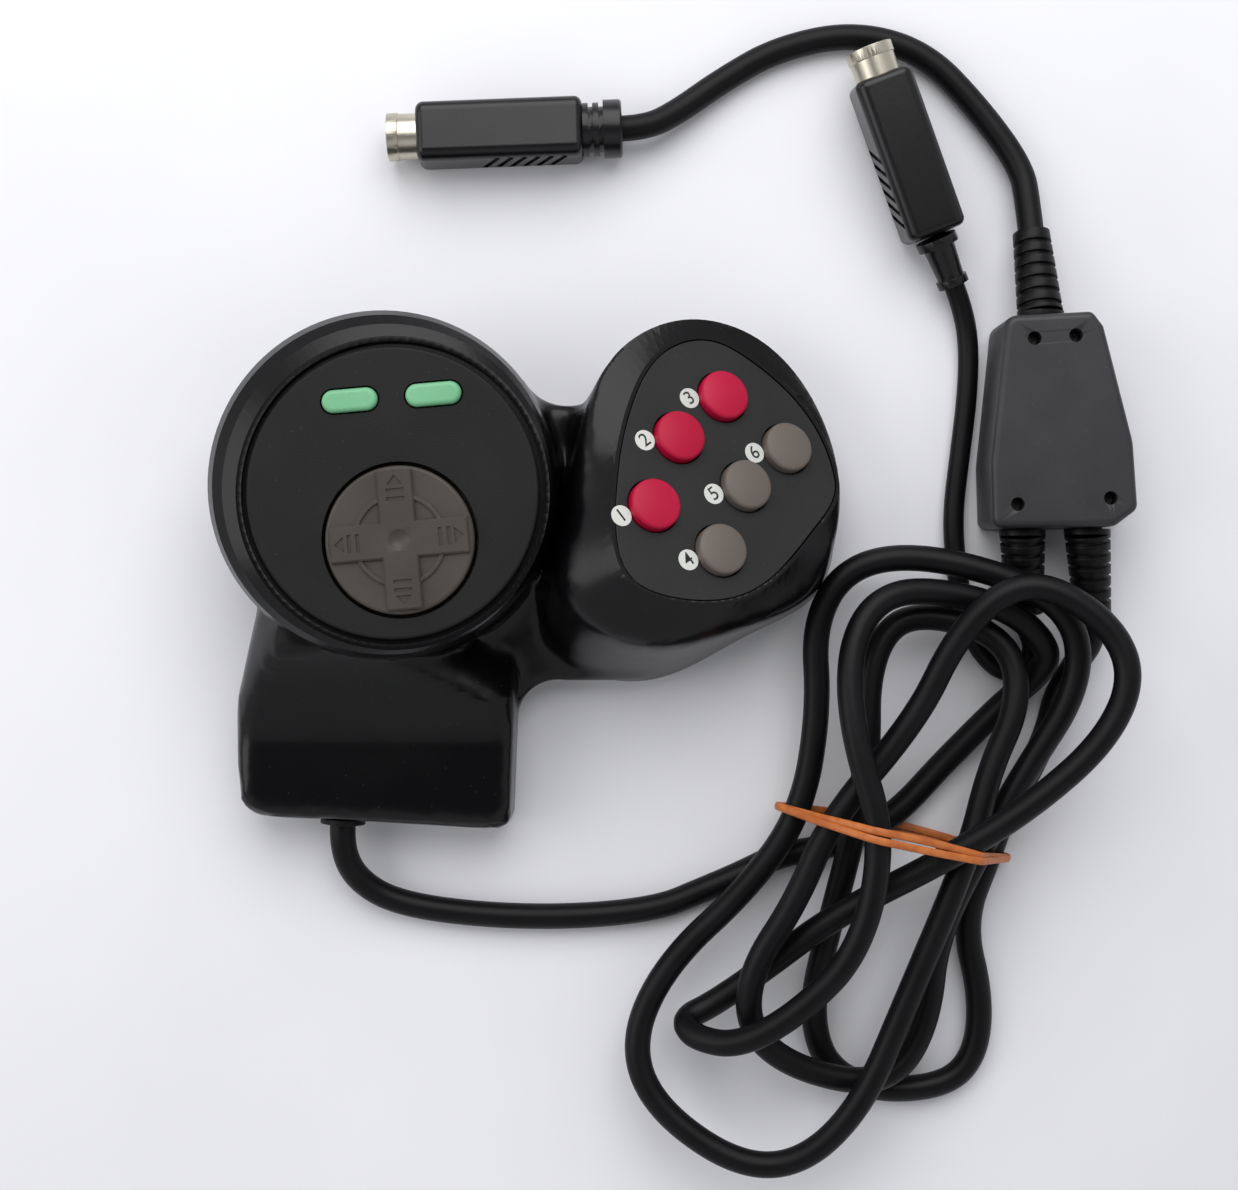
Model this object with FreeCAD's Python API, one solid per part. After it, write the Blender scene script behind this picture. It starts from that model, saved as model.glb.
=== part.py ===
"""Two-lobed game pad with a forked lead, built piece by piece in millimetres.

The pad lies face up on z = 0 with the player at -Y. Its origin is the middle of the pad's
footprint. A round drum on the left carries the direction disc, a lobe on the right leans to
the upper right and carries six round buttons, and a block at the front takes the lead.
"""
import math
import os

import FreeCAD
import Part

V = FreeCAD.Vector

# Housing walls and the seam between its two shells
WALL = 2.2
SEAM_Z = 8.0
ROOF_WALL = 2.2
FLOOR_WALL = 2.2

# Round drum on the left
DRUM_AT = (-27.6, 16.6)
DRUM_RADIUS = 33.6
DRUM_FOOT_DRAFT = 1.4
DRUM_WAIST_Z = 14.0
DRUM_RIM_Z = 25.0
DRUM_SHOULDER = ((0.40, 0.08), (0.70, 0.28), (0.88, 0.60))
CROWN_AT = (-24.8, 14.65)
CROWN_LEDGE = 1.0
DRUM_TOP_Z = 33.8

# Round cover plate of the drum
DPAD_PLATE_RADIUS = 27.5
DPAD_PLATE_THICK = 2.0
DPAD_PLATE_PROUD = 0.4
DPAD_PLATE_GROOVE = 1.0
FACE_TURN = 5.0

# Direction disc
DPAD_AT = (-23.35, 5.8)
DPAD_RADIUS = 14.0
DPAD_PROUD = 0.9
DPAD_GAP = 0.75
DPAD_FLANGE = 1.2
DPAD_FLANGE_THICK = 0.9
DPAD_CROSS_WIDTH = 6.8
DPAD_CROSS_HEIGHT = 0.9
DPAD_RING_RADIUS = 8.4
DPAD_RING_WIDTH = 0.7
PIVOT_Z = 31.0
PIVOT_BALL_RADIUS = 1.8
PIVOT_POST_RADIUS = 1.7
PIVOT_PLAY = 0.06

# Two long keys above the disc
KEY_AT = ((-32.8, 32.0), (-17.1, 33.2))
KEY_LENGTH = 10.5
KEY_WIDTH = 4.3
KEY_PROUD = 1.0
KEY_GAP = 0.35
KEY_FLANGE = 0.9
KEY_FLANGE_THICK = 0.8

# Right lobe: outlines of its foot and cap, and the leaning button face
LOBE_FOOT = (
    (61.7, 13.5), (58.5, 30.0), (46.0, 43.0), (31.0, 47.0), (17.0, 41.5), (9.0, 30.0),
    (4.0, 9.0), (3.0, -14.5), (21.7, -21.8), (43.7, -12.5), (58.0, -3.5))
LOBE_CAP = (
    (61.3, 14.2, 15.0), (57.0, 32.6, 13.0), (45.5, 46.0, 14.0), (32.0, 49.5, 18.0),
    (18.9, 43.7, 24.0), (11.8, 32.6, 29.0), (8.1, 9.6, 32.0), (7.0, -3.9, 33.0),
    (21.6, -13.9, 33.0), (40.8, -11.2, 28.0), (55.9, -3.5, 20.0))
LOBE_FOOT_DRAFT = 1.2
FACE_AT = (37.2, 19.8, 25.0)
FACE_LEAN = 29.0
FACE_LEAN_TOWARDS = 37.0
FACE_OUTLINE = (
    (20.0, -15.0), (24.0, -1.0), (21.0, 13.5), (16.5, 21.0), (7.0, 24.5), (-7.5, 19.5),
    (-22.5, 7.0), (-30.0, -7.0), (-24.5, -15.0), (-11.5, -22.0), (9.5, -20.0))
FACE_RIM = 1.0
FACE_PLATE_THICK = 1.6
FACE_PLATE_FIT = 0.25

# Six round buttons, placed on the leaning face
BUTTON_AT = (
    (-17.1, 1.8), (-3.5, 9.5), (10.3, 11.0), (-11.3, -12.5), (2.0, -5.6), (15.0, -4.5))
BUTTON_RADIUS = 5.0
BUTTON_PROUD = 2.4
BUTTON_GAP = 0.3
BUTTON_FLANGE = 0.9
BUTTON_FLANGE_THICK = 0.7

# Neck between drum and lobe
NECK_X = (-14.0, 22.0)
NECK_SECTIONS = (
    (42.0, 16.0, 12.0, 15.0), (32.5, 25.0, 20.0, 25.0), (-19.6, 12.0, 9.6, 13.0),
    (-30.0, 9.6, 8.6, 9.0))
NECK_COVES = ((7.8, 42.6, 10.0), (5.5, -30.0, 8.5))
NECK_TRIMS = (((-60.0, 38.6), (-0.8, 60.0)), ((5.5, -60.0), (40.0, -21.6)))

# Front block
BLOCK_OUTLINE = (
    (-53.4, -7.5), (-58.6, -26.0), (-58.3, -38.7), (-56.7, -48.22), (-3.8, -51.05),
    (-2.6, -19.6), (-8.0, 5.0), (-45.0, 5.0))
BLOCK_CORNERS = (0.0, 30.0, 30.0, 5.0, 3.0, 0.0, 0.0, 0.0)
BLOCK_NOSE_Z = 15.5
BLOCK_NOSE_END_Y = -34.0
BLOCK_HEAD_Z = 27.0
BLOCK_HEAD_Y = -15.0
BLOCK_SAG = 1.4
BLOCK_BEVELS = (
    ((-58.6, -30.0, 11.0), (-1.0, 0.0, 0.3)), ((-57.6, -30.0, 14.4), (-1.0, 0.0, 0.8)),
    ((-30.0, -49.65, 13.7), (-0.05, -1.0, 1.0)), ((-3.2, -35.0, 14.9), (1.0, -0.05, 0.8)))
RIDGE_START = (-31.0, -15.5)
RIDGE_END = (-4.5, -27.5)
POCKET_SLOPE = 42.0
POCKET_FLOOR_Z = 9.6

# Lead outlet in the front block
LEAD_RADIUS = 2.6
LEAD_EXIT_X = -37.7
LEAD_EXIT_Z = 8.0
GROMMET_RADIUS = 3.6
GROMMET_FIT = 0.08
GROMMET_COLLAR = 1.2

# Circuit boards and what stands on them
BOARD_THICK = 1.6
MAIN_BOARD_RADIUS = 25.5
MAIN_BOARD_TOP_Z = 24.6
FACE_BOARD_INSET = 3.9
FACE_BOARD_TOP = -7.6
MEMBRANE_THICK = 0.7
DOME_PLAY = 0.05
POST_RADIUS = 2.2
MAIN_POST_AT = ((-46.5, 18.0), (-3.4, 19.0), (-25.0, 25.2))
FACE_POST_AT = ((-24.0, -5.0), (2.0, 16.5), (7.5, -14.2))

# Screws
BOSS_RADIUS = 3.2
BOSS_AT = (
    (-52.7, 31.2), (-13.8, 41.7), (-48.2, -3.2), (-50.5, -41.0), (-9.5, -42.5),
    (52.5, -1.0), (14.0, -11.5), (20.5, 36.5))
SCREW_RADIUS = 1.45
SCREW_HEAD_RADIUS = 2.7
SCREW_HEAD_THICK = 1.8
SCREW_TOP_Z = 11.5
SCREW_SINK = 1.4
SCREW_FIT = 0.05
SMALL_SCREW_RADIUS = 1.0
SMALL_SCREW_HEAD_RADIUS = 1.9
SMALL_SCREW_HEAD_THICK = 1.2
SMALL_SCREW_BITE = 2.6

# Leads: the thick one to the pad and the first plug, the thin one to the second plug
THIN_LEAD_RADIUS = 2.1
CORE_RADIUS = 1.5
LINK_RADIUS = 1.2
CHIP_AT = (-32.0, 12.5)
SOCKET_AT = (-30.0, -4.0)
SOCKET_SIZE = (9.0, 5.5, 5.0)
CORE_ROUTE = (
    (-37.52, -45.84, 8.0), (-37.2, -40.0, 8.0), (-36.0, -30.5, 10.0), (-33.0, -21.0, 16.0),
    (-30.0, -13.2, 20.2), (-30.0, -6.75, 20.2))
LINK_START = ((-6.0, 12.0, 23.0), (-6.0, 12.0, 16.0), (1.0, 12.0, 10.0), (9.0, 11.6, 8.4))
LINK_END_AT = (-13.0, -6.0)

# Lead from the pad to the bundle
NEAR_ROUTE = (
    (-37.77, -50.44, 8.0), (-38.04, -55.5, 8.0), (-35.2, -62.5, 4.4), (-27.0, -67.4, 2.6),
    (-9.0, -69.8, 2.6), (10.0, -70.0, 2.6), (26.0, -68.2, 2.6), (34.1, -64.8, 2.6))

# Bundle: eight bends of one lead through a common waist. Each row holds the end that the bend
# points to, its lean, its reach, its two half widths, its heights, and the place and height at
# which the lead crosses the waist before it.
WAIST_AT = (74.6, -52.5)
TIE_START = (52.3, -47.4)
TIE_SLOPE = -50.0 / 213.0
BEND_PATTERN = ((0.36, 0.80), (0.66, 1.0), (0.89, 0.88), (1.0, 0.42))
HANK_IN = (
    (113.4, -7.9, 5.6), (114.0, -13.2, 4.6), (110.6, -18.1, 3.5), (106.6, -24.8, 3.0),
    (105.0, -32.2, 2.6), (100.9, -41.0, 3.0), (95.7, -49.1, 3.6))
HANK_TURNS = (
    (False, -3, 52.5, 15.0, 20.0, (3.5, 3.0, 2.7, 2.6, 2.6, 3.0, 5.0, 8.0), 93.0, 3.8),
    (True, 10, 44.0, 12.5, 17.5, (10.5, 10.5, 10.0, 9.5, 10.0, 11.0, 12.5, 13.0), 65.1, 10.0),
    (False, 35, 73.0, 23.0, 24.0, (14.5, 15.0, 13.5, 12.0, 10.5, 9.5, 8.5, 8.5), 87.0, 14.0),
    (True, 15, 55.0, 28.5, 25.5, (9.5, 10.5, 12.0, 13.5, 14.0, 13.5, 12.0, 10.5), 54.4, 9.0),
    (False, 17, 50.5, 16.0, 22.0, (7.5, 7.0, 7.5, 8.5, 11.0, 14.0, 16.0, 17.0), 89.6, 9.0),
    (True, 35, 56.5, 15.5, 19.0, (17.5, 19.0, 20.5, 21.5, 22.0, 23.0, 23.0, 22.0), 59.0, 17.0),
    (False, 52, 57.5, 4.0, -12.5, (14.5, 9.5, 8.0, 10.0, 14.5, 19.0, 22.0, 23.5), 83.9, 19.5),
    (True, 12, 49.0, 19.5, 25.0, (23.0, 20.5, 18.0, 15.5, 13.0), 68.9, 24.0))
HANK_OUT = (
    (104.2, -15.6, 10.5), (101.7, -20.9, 7.5), (96.1, -25.8, 5.0), (89.8, -32.2, 4.0),
    (82.7, -39.5, 3.5), (75.6, -47.2, 4.0), (68.1, -52.7, 4.0), (59.4, -55.9, 3.0),
    (50.3, -57.4, 2.6), (42.2, -61.4, 2.6), (34.1, -64.8, 2.6))

# Wire tie round the bundle's waist
TIE_WIDTH = 2.2
TIE_THICK = 0.7
TIE_FIT = 0.15

# Fork box, lying on its flat side
BOX_OUTLINE = (
    (93.6, 50.3), (110.6, 51.2), (112.8, 48.3), (118.6, 25.5), (119.5, 12.4), (115.0, 9.0),
    (91.0, 8.6), (90.6, 21.5))
BOX_CORNERS = (2.5, 1.6, 1.6, 12.0, 2.0, 2.0, 2.0, 10.0)
BOX_HEIGHT = 18.0
BOX_SEAM_Z = 9.0
BOX_WALL = 1.6
BOX_EDGE_ROUND = 1.4
BOX_SCREW_AT = ((99.1, 45.8), (107.2, 46.4), (95.8, 13.3), (114.0, 14.5))
BOX_BOSS_RADIUS = 2.0
BOX_BOARD_Z = 3.4
BOX_BOARD_THICK = 1.2
BOX_SCREW_HEAD_Z = 13.8
BOX_SCREW_FOOT_Z = 4.4
BOX_SEAT_Z = 13.0
BOX_SCREW_RADIUS = 0.75
BOX_SCREW_HEAD_RADIUS = 1.15
BOX_SCREW_HEAD_THICK = 0.9
KNOB_AT = (116.6, 32.8)
KNOB_SIZE = (3.6, 2.6)
KNOB_PROUD = 0.8
KNOB_SLIDE = 1.5
KNOB_GAP = 0.25
KNOB_LEAN = 14.3

# Ribbed sleeves where leads enter the box: the wall point, and the sleeve's free tip
SLEEVES = {
    "a": ((98.5, 8.8, 9.0), (99.7, -8.0, 5.6)),
    "b": ((111.5, 9.0, 9.0), (113.4, -7.9, 5.6)),
    "c": ((102.2, 50.7, 9.0), (101.0, 68.6, 5.6)),
}
SLEEVE_BASE_RADIUS = 4.6
SLEEVE_TIP_RADIUS = 3.7
SLEEVE_HUB_RADIUS = 3.0
SLEEVE_RIBS = 6
SLEEVE_COLLAR = 1.2
SLEEVE_INNER = 2.5
SLEEVE_SEAM_TURN = 25.0
TERMINAL_AT = {"a": (99.6, 20.5), "b": (110.4, 20.5), "c": (102.2, 39.5)}
BOX_CORE_RADIUS = 0.8
BOX_CORE_X = {"a": 99.1, "b": 110.9, "c": 102.2}

# Round plugs with a metal shroud and six pins, drawn along +X from the shroud's mouth
SHROUD_RADIUS = 4.75
SHROUD_WALL = 0.45
SHROUD_RIM = 2.2
SHROUD_OUT = 6.0
SHROUD_END = 15.0
GRIP_END = 39.3
GRIP_HALF = 6.0
GRIP_ROUND = 1.6
GROOVE_START = 20.6
GROOVE_PITCH = 2.7
GROOVE_COUNT = 6
GROOVE_WIDE = 1.1
GROOVE_DEEP = 0.6
GROOVE_LEAN = 22.0
RING_STEPS = (1.2, 0.9, 1.2, 0.9)
RING_RADIUS = 5.3
RING_GROOVE_RADIUS = 4.5
COLLAR_RADIUS = 5.8
COLLAR_END = 47.2
THIN_RING_RADIUS = 4.2
THIN_RING_END = 1.8
THIN_WAIST_RADIUS = 2.7
THIN_LIP_RADIUS = 3.2
THIN_LIP_LENGTH = 1.6
PIN_CIRCLE = 2.4
PIN_RADIUS = 0.5
PLUG_1_TIP = (-28.9, 87.9, 6.0)
PLUG_1_TAIL = (18.25, 89.7, 6.0)
PLUG_2_TIP = (67.4, 104.6, 10.6)
PLUG_2_TAIL = (81.5, 67.5, 6.6)
THIN_SLEEVE_END = (85.6, 58.4, 4.2)
PLUG_1_ROUTE = (
    (18.27, 89.7, 6.0), (23.17, 89.887, 6.0), (29.4, 93.4, 4.0), (38.5, 100.2, 2.6),
    (50.0, 106.8, 2.6), (65.5, 110.0, 2.6), (80.0, 106.0, 2.6), (91.0, 94.5, 2.6),
    (99.6, 82.5, 3.0), (100.6, 74.6, 4.45), (101.0, 68.6, 5.6))
PLUG_2_ROUTE = (
    (85.6, 58.4, 4.2), (87.4, 54.4, 3.15), (89.0, 47.3, 2.1), (88.8, 37.0, 2.1),
    (87.2, 24.0, 2.1), (85.7, 12.0, 2.1), (86.3, 2.0, 2.1), (87.7, -6.0, 2.1),
    (89.2, -12.0, 2.1), (92.3, -17.2, 2.1), (96.2, -20.3, 2.1), (100.8, -19.4, 2.2),
    (102.2, -15.0, 3.4), (99.88, -10.54, 5.08), (99.7, -8.0, 5.6))


def flat_circle(x, y, z, radius):
    """Level circle as a closed wire."""
    return Part.Wire(Part.makeCircle(radius, V(x, y, z)))


def smooth_loop(points):
    """Closed smooth curve through the given points."""
    curve = Part.BSplineCurve()
    curve.interpolate(Points=[V(*point) for point in points], PeriodicFlag=True)
    return Part.Wire(curve.toShape())


def drawn_in(points, inset):
    """Outline points moved inwards by inset, square to the outline; a third value is kept."""
    moved = []
    count = len(points)
    for index, point in enumerate(points):
        before = points[index - 1]
        after = points[(index + 1) % count]
        along = V(after[0] - before[0], after[1] - before[1], 0).normalize()
        moved.append((point[0] - along.y * inset, point[1] + along.x * inset) + tuple(point[2:]))
    return moved


def rounded_outline(points, radii, z):
    """Closed wire of straight sides whose corners are rounded by arcs."""
    edges = []
    count = len(points)
    ends = []
    for index, (point, radius) in enumerate(zip(points, radii)):
        corner = V(point[0], point[1], z)
        before = V(points[index - 1][0], points[index - 1][1], z)
        after = V(points[(index + 1) % count][0], points[(index + 1) % count][1], z)
        back = (before - corner).normalize()
        ahead = (after - corner).normalize()
        if radius == 0.0:
            ends.append((corner, None, corner))
            continue
        half = back.getAngle(ahead) / 2
        reach = radius / math.tan(half)
        middle = (back + ahead).normalize()
        centre = corner + middle * (radius / math.sin(half))
        ends.append((corner + back * reach, centre - middle * radius, corner + ahead * reach))
    for index, (start, middle, end) in enumerate(ends):
        if middle is not None:
            edges.append(Part.Arc(start, middle, end).toShape())
        following = ends[(index + 1) % count][0]
        edges.append(Part.makeLine(end, following))
    return Part.Wire(Part.__sortEdges__(edges))


def ruled_loft(wires):
    """Solid with straight sides from wire to wire."""
    return Part.makeLoft(wires, True, True)


def slab(low, high):
    """Wide level slab between two heights."""
    reach = 400.0
    return Part.makeBox(2 * reach, 2 * reach, high - low, V(-reach, -reach, low))


def capsule(x, y, z, length, width, height, turn=0.0):
    """Upright prism with two round ends."""
    half = (length - width) / 2
    radius = width / 2
    outline = Part.Wire([
        Part.makeLine(V(-half, -radius, 0), V(half, -radius, 0)),
        Part.Arc(V(half, -radius, 0), V(half + radius, 0, 0), V(half, radius, 0)).toShape(),
        Part.makeLine(V(half, radius, 0), V(-half, radius, 0)),
        Part.Arc(V(-half, radius, 0), V(-half - radius, 0, 0), V(-half, -radius, 0)).toShape()])
    body = Part.Face(outline).extrude(V(0, 0, height))
    body.rotate(V(0, 0, 0), V(0, 0, 1), turn)
    body.translate(V(x, y, z))
    return body


def face_frame():
    """Placement whose z is the button face's normal and whose x runs straight down it."""
    lean = math.radians(FACE_LEAN)
    towards = math.radians(FACE_LEAN_TOWARDS)
    down = V(math.cos(towards) * math.cos(lean), math.sin(towards) * math.cos(lean), -math.sin(lean))
    across = V(-math.sin(towards), math.cos(towards), 0)
    return FreeCAD.Placement(V(*FACE_AT), FreeCAD.Rotation(down, across, down.cross(across), "ZXY"))


FACE = face_frame()


def on_face(shape):
    """A shape drawn on the face's own axes, set on the leaning face."""
    placed = shape.copy()
    placed.Placement = FACE.multiply(placed.Placement)
    return placed


def face_points(points, level):
    """Outline points on the leaning face, in the pad's axes."""
    return [tuple(FACE.multVec(V(x, y, level))) for x, y in points]


def drum_form(inset, roof):
    """Drum drawn in by inset, with its rounded shoulder lowered by roof towards its crown."""
    floor = inset and FLOOR_WALL
    foot = DRUM_RADIUS - DRUM_FOOT_DRAFT - inset
    waist = DRUM_RADIUS - inset
    rim_z = DRUM_RIM_Z - roof
    profile = Part.makePolygon([
        V(0, 0, floor), V(foot, 0, floor), V(waist, 0, DRUM_WAIST_Z), V(waist, 0, rim_z),
        V(0, 0, rim_z), V(0, 0, floor)])
    barrel = Part.Face(profile).revolve(V(0, 0, 0), V(0, 0, 1), 360)
    barrel.translate(V(DRUM_AT[0], DRUM_AT[1], 0))
    crown = DPAD_PLATE_RADIUS + DPAD_PLATE_GROOVE + CROWN_LEDGE - inset
    rings = []
    for rise, draw in ((0.0, 0.0),) + DRUM_SHOULDER + ((1.0, 1.0),):
        x = DRUM_AT[0] + (CROWN_AT[0] - DRUM_AT[0]) * draw
        y = DRUM_AT[1] + (CROWN_AT[1] - DRUM_AT[1]) * draw
        z = DRUM_RIM_Z + (DRUM_TOP_Z - DRUM_RIM_Z) * rise - roof
        rings.append(flat_circle(x, y, z, waist + (crown - waist) * draw))
    return barrel.fuse(ruled_loft(rings))


def lobe_form(inset, roof):
    """Lobe drawn in by inset, with its leaning top lowered by roof along its normal."""
    foot = drawn_in(LOBE_FOOT, LOBE_FOOT_DRAFT + inset)
    hip = drawn_in(LOBE_FOOT, inset)
    cap = drawn_in(LOBE_CAP, inset)
    rim = drawn_in(FACE_OUTLINE, inset - FACE_RIM)
    return ruled_loft([
        smooth_loop([(x, y, inset and FLOOR_WALL) for x, y in foot]),
        smooth_loop([(x, y, SEAM_Z) for x, y in hip]),
        smooth_loop([(x, y, z - inset) for x, y, z in cap]),
        smooth_loop(face_points(rim, -roof))])


def neck_form(inset):
    """Saddle between drum and lobe, whose back and front edges curve into both."""
    floor = inset and FLOOR_WALL
    left, right = NECK_X
    wires = []
    for y, left_z, middle_z, right_z in NECK_SECTIONS:
        place = min(max(y, NECK_SECTIONS[-1][0] + inset), NECK_SECTIONS[0][0] - inset)
        start = V(left, place, left_z - inset)
        middle = V((left + right) / 2, place, middle_z - inset)
        end = V(right, place, right_z - inset)
        wires.append(Part.Wire([
            Part.makeLine(V(right, place, floor), V(left, place, floor)),
            Part.makeLine(V(left, place, floor), start),
            Part.Arc(start, middle, end).toShape(),
            Part.makeLine(end, V(right, place, floor))]))
    body = ruled_loft(wires)
    for x, y, radius in NECK_COVES:
        body = body.cut(disc(x, y, -1.0, DRUM_TOP_Z, radius + inset))
    for (west, south), (east, north) in NECK_TRIMS:
        reach = V(east - west + 2 * inset, north - south + 2 * inset, DRUM_TOP_Z + 1.0)
        body = body.cut(Part.makeBox(*reach, V(west - inset, south - inset, -1.0)))
    return body


def block_form(inset):
    """Front block: a low nose, a slope that curves up to the drum and a ridge by the pocket."""
    outline = drawn_in(BLOCK_OUTLINE, inset)
    radii = [max(radius - inset, 0.0) if radius else 0.0 for radius in BLOCK_CORNERS]
    floor = inset and FLOOR_WALL
    prism = Part.Face(rounded_outline(outline, radii, floor)).extrude(V(0, 0, BLOCK_HEAD_Z))
    far = 80.0
    nose = V(-far, BLOCK_NOSE_END_Y, BLOCK_NOSE_Z - inset)
    head = V(-far, BLOCK_HEAD_Y, BLOCK_HEAD_Z - inset)
    dip = (nose + head) * 0.5 + V(0, BLOCK_SAG, -BLOCK_SAG)
    side = Part.Wire([
        Part.makeLine(V(-far, far, floor), V(-far, -far, floor)),
        Part.makeLine(V(-far, -far, floor), V(-far, -far, nose.z)),
        Part.makeLine(V(-far, -far, nose.z), nose),
        Part.Arc(nose, dip, head).toShape(),
        Part.makeLine(head, V(-far, far, head.z)),
        Part.makeLine(V(-far, far, head.z), V(-far, far, floor))])
    body = prism.common(Part.Face(side).extrude(V(2 * far, 0, 0)))
    for place, lean in BLOCK_BEVELS:
        body = body.cut(half_space(place, lean, inset))
    return body.cut(pocket_cut(inset))


def half_space(place, lean, inset):
    """Everything beyond a plane that is drawn in by inset; lean is the plane's normal."""
    beyond = Part.makeBox(200, 200, 100, V(-100, -100, -inset))
    beyond.Placement = FreeCAD.Placement(V(*place), FreeCAD.Rotation(V(0, 0, 1), V(*lean)))
    return beyond


def pocket_cut(inset):
    """Wedge beyond the ridge: a steep face that falls to the level pocket floor."""
    rise = (BLOCK_HEAD_Z - BLOCK_NOSE_Z) / (BLOCK_HEAD_Y - BLOCK_NOSE_END_Y)
    start = V(RIDGE_START[0], RIDGE_START[1], BLOCK_HEAD_Z)
    end = V(RIDGE_END[0], RIDGE_END[1], BLOCK_NOSE_Z + (RIDGE_END[1] - BLOCK_NOSE_END_Y) * rise)
    along = (end - start).normalize()
    beyond = V(-along.y, along.x, 0).normalize()
    slope = math.radians(POCKET_SLOPE)
    fall = beyond * math.cos(slope) - V(0, 0, math.sin(slope))
    brow = start - along * 40.0 - beyond * inset - V(0, 0, inset)
    profile = Part.makePolygon([
        brow - fall * 20.0, brow + fall * 60.0, brow + fall * 60.0 + V(0, 0, 90.0),
        brow - fall * 20.0 + V(0, 0, 90.0), brow - fall * 20.0])
    wedge = Part.Face(profile).extrude(along * 120.0)
    return wedge.common(slab(POCKET_FLOOR_Z - inset, 90.0))


def pad_form(inset=0.0, drum_roof=0.0, lobe_roof=0.0):
    """The pad's whole outer form, or its hollow when inset is the wall."""
    body = drum_form(inset, drum_roof)
    for piece in (block_form(inset), neck_form(inset), lobe_form(inset, lobe_roof)):
        body = body.fuse(piece)
    return body


def disc(x, y, low, high, radius):
    """Upright cylinder between two heights."""
    return Part.makeCylinder(radius, high - low, V(x, y, low))


def screw(x, y, low, head_radius, head_thick, radius, length):
    """Pan-head screw that points up, with a cross recess in its head."""
    head = disc(x, y, low, low + head_thick, head_radius)
    shank = disc(x, y, low + head_thick, low + head_thick + length, radius)
    slot = head_radius * 1.1
    cross = Part.makeBox(slot, head_radius * 0.3, head_thick * 0.5, V(-slot / 2, -head_radius * 0.15, 0))
    turned = cross.copy()
    turned.rotate(V(0, 0, 0), V(0, 0, 1), 90)
    recess = cross.fuse(turned)
    recess.translate(V(x, y, low))
    return head.fuse(shank).cut(recess)


def group(solids):
    """Several separate solids in one node."""
    return Part.makeCompound(solids)


def save(name, shape):
    """Write one node's file."""
    shape.exportStep(os.path.join("parts", name + ".step"))
    print(name, "solids", len(shape.Solids), "volume", round(shape.Volume, 2), shape.isValid())


DPAD_PLATE_TOP = DRUM_TOP_Z + DPAD_PLATE_PROUD
DPAD_PLATE_BASE = DPAD_PLATE_TOP - DPAD_PLATE_THICK
DRUM_CEILING = DPAD_PLATE_BASE - ROOF_WALL
FACE_CEILING = -FACE_PLATE_THICK - ROOF_WALL
DPAD_BASE_Z = 27.2
KEY_BASE_Z = 27.3
BUTTON_BASE = -5.6


def pad_openings():
    """Holes through the drum's roof and cover plate for the disc and the two keys."""
    low = DRUM_CEILING - 1.0
    high = DPAD_PLATE_TOP + 1.0
    cuts = [disc(DPAD_AT[0], DPAD_AT[1], low, high, DPAD_RADIUS + DPAD_GAP)]
    for x, y in KEY_AT:
        cuts.append(capsule(
            x, y, low, KEY_LENGTH + 2 * KEY_GAP, KEY_WIDTH + 2 * KEY_GAP, high - low, FACE_TURN))
    return cuts


def button_openings():
    """Round holes through the lobe's roof and cover plate."""
    low = FACE_CEILING - 1.0
    high = 1.0
    return [on_face(disc(x, y, low, high, BUTTON_RADIUS + BUTTON_GAP)) for x, y in BUTTON_AT]


def face_prism(outline, low, high):
    """Plate of the given outline between two levels of the leaning face."""
    wire = smooth_loop([(x, y, low) for x, y in outline])
    return on_face(Part.Face(wire).extrude(V(0, 0, high - low)))


def make_upper_housing(shell):
    """Upper shell with its screw bosses and the posts that hold both boards."""
    body = shell.common(slab(SEAM_Z, 60.0))
    hollow_top = pad_form(WALL / 2, WALL / 2, WALL / 2)
    for x, y in BOSS_AT:
        boss = disc(x, y, SEAM_Z, 60.0, BOSS_RADIUS).common(hollow_top)
        body = body.fuse(boss)
    for x, y in MAIN_POST_AT:
        body = body.fuse(disc(x, y, MAIN_BOARD_TOP_Z, DRUM_CEILING + 0.5, POST_RADIUS))
    for x, y in FACE_POST_AT:
        body = body.fuse(on_face(disc(x, y, FACE_BOARD_TOP, FACE_CEILING + 0.5, POST_RADIUS)))
    cuts = pad_openings() + button_openings()
    recess = DPAD_PLATE_RADIUS + DPAD_PLATE_GROOVE
    cuts.append(disc(CROWN_AT[0], CROWN_AT[1], DPAD_PLATE_BASE, DRUM_TOP_Z + 5.0, recess))
    cuts.append(face_prism(drawn_in(FACE_OUTLINE, -FACE_PLATE_FIT), -FACE_PLATE_THICK, 4.0))
    for x, y in BOSS_AT:
        cuts.append(disc(x, y, SEAM_Z - 1.0, SCREW_TOP_Z + 1.0, SCREW_RADIUS + SCREW_FIT))
    for x, y in MAIN_POST_AT:
        top = MAIN_BOARD_TOP_Z + SMALL_SCREW_BITE + 0.4
        cuts.append(disc(x, y, MAIN_BOARD_TOP_Z - 1.0, top, SMALL_SCREW_RADIUS + SCREW_FIT))
    for x, y in FACE_POST_AT:
        top = FACE_BOARD_TOP + SMALL_SCREW_BITE + 0.4
        cuts.append(on_face(disc(x, y, FACE_BOARD_TOP - 1.0, top, SMALL_SCREW_RADIUS + SCREW_FIT)))
    cuts.append(grommet_hole())
    return body.cut(Part.makeCompound(cuts))


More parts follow.
